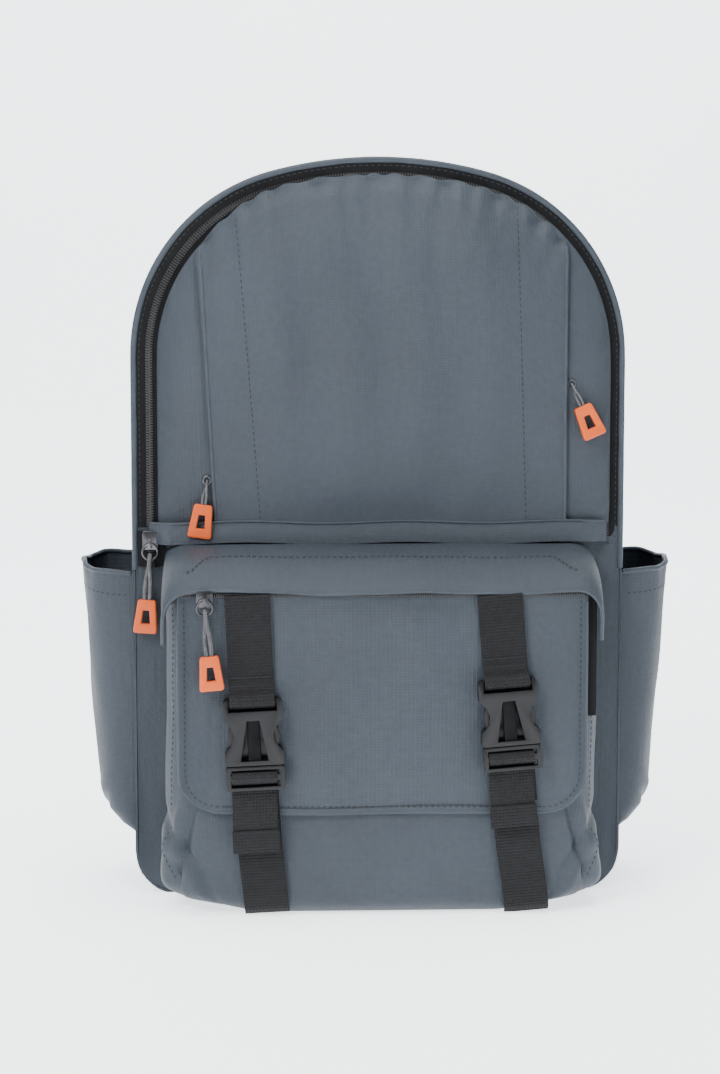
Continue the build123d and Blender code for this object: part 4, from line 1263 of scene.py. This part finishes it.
# %% [markdown]
# The shoulder straps curve outwards as they come down, so that they follow the chest. Each is a
# band along an arc, and its lower end is narrower, where the webbing starts.
# %% Shoulder straps
for side, sign in (("left", -1), ("right", 1)):
    low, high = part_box("shoulder_strap_" + side)
    centre_line = [(62, 375), (72, 320), (78.5, 265), (87, 208), (98, 152)]
    widths = [24.5, 25.0, 24.7, 24.0, 21.5]

    def sample(values, t):
        """Smooth interpolation through five evenly spaced values."""
        k = t * 4
        i = min(int(k), 3)
        f = k - i
        p = [values[max(i - 1, 0)], values[i], values[i + 1], values[min(i + 2, 4)]]
        return 0.5 * (2 * p[1] + (p[2] - p[0]) * f + (2 * p[0] - 5 * p[1] + 4 * p[2] - p[3]) * f * f + (3 * p[1] - p[0] - 3 * p[2] + p[3]) * f**3)

    rail = []
    for i in range(41):
        t = i / 40
        rail.append((sample([c[0] for c in centre_line], t), 375 - 223 * t, sample(widths, t)))
    outline = [(sign * (x + w), z) for x, z, w in rail] + [(sign * (x - w), z) for x, z, w in reversed(rail)]
    foam = stuffed(blank("shoulder_strap_foam_" + side, outline, low[1] / MM + 1.5, high[1] / MM - 2.5), MESH, 4.0)
    body = side + "_shoulder_strap"
    dress(foam, body, "pad_mesh", "shoulder_strap_" + side)
    edges = []
    for k in (1, -1):
        edges.append(tube(side + "_strap_binding", [(sign * (x + k * (w + 0.6)), (low[1] + high[1]) / 2 / MM, z) for x, z, w in rail[::2]], 1.9, TAPE))
    binding = join_as(side + "_strap_bindings", edges)
    dress(binding, body, "pad_mesh")
    run = ribbon(side + "_strap_webbing", [(sign * x, high[1] / MM - 0.6, z) for x, z, w in rail[16:]], 20, (1, 0, 0), WEBBING, 1.2, 0.14)
    dress(run, body, "webbing")
    print(foam.name, len(foam.data.polygons), "faces")

# %% [markdown]
# Under the shoulder straps' feet, webbing runs down to anchors in the bottom seam. It is laid once
# in place, with a slight sag between its top and its foot. The yoke and the haul handle close the
# top.
# %% Lower webbing, anchors, yoke and handle
for side, sign in (("left", -1), ("right", 1)):
    low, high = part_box("lower_webbing_" + side)
    top_x, foot_x = sign * 108.0, sign * 116.0
    path = []
    for i in range(31):
        t = i / 30
        sag = 4.5 * math.sin(math.pi * t)
        path.append((foot_x + (top_x - foot_x) * t, 59.2 + sag + 8 * smooth((t - 0.75) * 4), 30 + 92 * t))
    lower_run = ribbon(side + "_lower_webbing_ribbon", path, 24.6, (1, 0, 0), WEBBING, 1.4, 0.15)
    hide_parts("lower_webbing_" + side)
    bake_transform(lower_run)
for side, sign in (("left", -1), ("right", 1)):
    def anchor_at(s, t, sign=sign):
        """A folded triangle of shell cloth in the bottom seam."""
        half = 15 + 4.5 * (1 - t)
        return (sign * 116 + (s - 0.5) * 2 * half + sign * -1.5 * (1 - t), 56.4 + 2.2 * t ** 2 + 0.8 * math.sin(math.pi * s), 14 + 33 * t)
    tab = sheet_piece("strap_anchor_cloth_" + side, anchor_at, 26, 26, SHELL, 1.8, 0, (38, 33), offset=0.0)
    if sign < 0:
        dress(tab, "pack", "shell_fabric", "strap_anchors")
    else:
        dress(tab, "pack", "shell_fabric")
    tack = beads("strap_anchor_tacks_" + side, [[(sign * 116 - 11, 60.6, z), (sign * 116 + 11, 60.6, z)] for z in (34.0, 42.0)], 1.8, (1.6, 0.5, 0.4), THREAD, out=(0, 1, 0))
    dress(tack, "pack", "webbing")
yoke = sheet_piece(
    "strap_yoke_cloth",
    lambda s, t: (98 * math.sin((2 * s - 1) * math.pi / 2) * (1 - 0.16 * t), 56.4 + 1.6 * math.sin(math.pi * t) ** 0.7 * smooth(min(s, 1 - s) * 9), 349 + 38 * t + 1.0 * math.sin(s * 9)),
    80, 24, SHELL, 1.8, 0, (196, 38), flip=True, offset=0.0)
dress(yoke, "pack", "shell_fabric", "strap_yoke")
yoke_stitch = beads("yoke_stitches", [[(-92 + 184 * i / 60, 59.1, z) for i in range(61)] for z in (353.0, 383.0)], 3.3, (2.0, 0.55, 0.3), THREAD, out=(0, 1, 0))
dress(yoke_stitch, "pack", "shell_fabric")
handle_path = [(-23, 58.8, 368)] + [(-23, 58.8, 368 + 3 * i) for i in range(1, 5)]
handle_path += [(-23 * math.cos(math.pi * i / 20), 58.8, 382 + 13.5 * math.sin(math.pi * i / 20)) for i in range(1, 20)]
handle_path += [(23, 58.8, 380 - 3 * i) for i in range(5)]


def handle_at(s, t):
    """The handle is a flat band whose face stays towards the back."""
    x, y, z = along(handle_path, t)
    bx, by, bz = along(handle_path, min(t + 0.01, 1.0))
    ax, ay, az = along(handle_path, max(t - 0.01, 0.0))
    tangent = Vector((bx - ax, 0, bz - az)).normalized()
    side = Vector((tangent.z, 0, -tangent.x))
    return Vector((x, y + 0.5 * math.cos((s - 0.5) * math.pi), z)) + side * ((s - 0.5) * 17)


handle = sheet_piece("haul_handle_webbing", handle_at, 12, 160, WEBBING, 2.0, 0, (17, 110), offset=0.0)
dress(handle, "haul_handle", "webbing", "haul_handle")
print("back straps made")

# %% [markdown]
# Pale floor and broad soft lights, so that dark cloth shows its folds without hard shadows.
# %% Studio
def studio_material():
    """A pale, faintly uneven paper."""
    material = bpy.data.materials.new("backdrop_paper")
    material.use_nodes = True
    tree = material.node_tree
    shader = tree.nodes["Principled BSDF"]
    noise = tree.nodes.new("ShaderNodeTexNoise")
    noise.inputs["Scale"].default_value = 3.0
    place = tree.nodes.new("ShaderNodeTexCoord")
    link(tree, place.outputs["Object"], noise.inputs["Vector"])
    ramp = tree.nodes.new("ShaderNodeValToRGB")
    ramp.color_ramp.elements[0].color = (0.90, 0.93, 0.96, 1)
    ramp.color_ramp.elements[1].color = (0.94, 0.96, 0.98, 1)
    link(tree, noise.outputs[0], ramp.inputs[0])
    link(tree, ramp.outputs[0], shader.inputs["Base Color"])
    link(tree, ramp.outputs[0], shader.inputs["Emission Color"])
    shader.inputs["Emission Strength"].default_value = 1.8
    shader.inputs["Roughness"].default_value = 0.9
    return material


deselect()
bpy.ops.mesh.primitive_grid_add(x_subdivisions=4, y_subdivisions=60, size=1)
floor = bpy.context.object
floor.name = "studio_floor"
for vertex in floor.data.vertices:
    s, t = vertex.co.x, vertex.co.y + 0.5
    run = t * 7.0
    if run < 4.2:
        y, z = -2.6 + run, 0.0
    else:
        a = min((run - 4.2) / 1.0, math.pi / 2)
        y = 1.6 + math.sin(a)
        z = 1 - math.cos(a) + max(run - 4.2 - math.pi / 2, 0.0) * 1.6
    vertex.co = (s * 9.0, y, z)
finish_mesh(floor, studio_material())


def soft_light(name, place, aim_at, size, power, colour=(1, 1, 1)):
    """A large square lamp turned towards a point."""
    data = bpy.data.lights.new(name, "AREA")
    data.shape = "SQUARE"
    data.size = size
    data.energy = power
    data.color = colour
    obj = bpy.data.objects.new(name, data)
    bpy.context.scene.collection.objects.link(obj)
    obj.location = place
    obj.rotation_euler = (Vector(aim_at) - Vector(place)).to_track_quat("-Z", "Y").to_euler()


soft_light("key_light", (-1.1, -1.5, 1.6), (0, 0, 0.2), 0.8, 52)
soft_light("fill_light", (1.6, -1.3, 0.8), (0, 0, 0.2), 1.4, 12, (0.93, 0.97, 1.0))
soft_light("top_light", (0.0, -0.2, 1.9), (0, 0, 0.2), 1.2, 16)
soft_light("wall_light", (0, 0.3, 3.4), (0, 2.4, 1.0), 3.0, 150)
world = bpy.data.worlds.new("studio")
bpy.context.scene.world = world
world.use_nodes = True
world.node_tree.nodes["Background"].inputs[0].default_value = (0.80, 0.88, 0.95, 1)
world.node_tree.nodes["Background"].inputs[1].default_value = 0.2
print("studio lit")

bpy.ops.object.select_all(action="DESELECT")
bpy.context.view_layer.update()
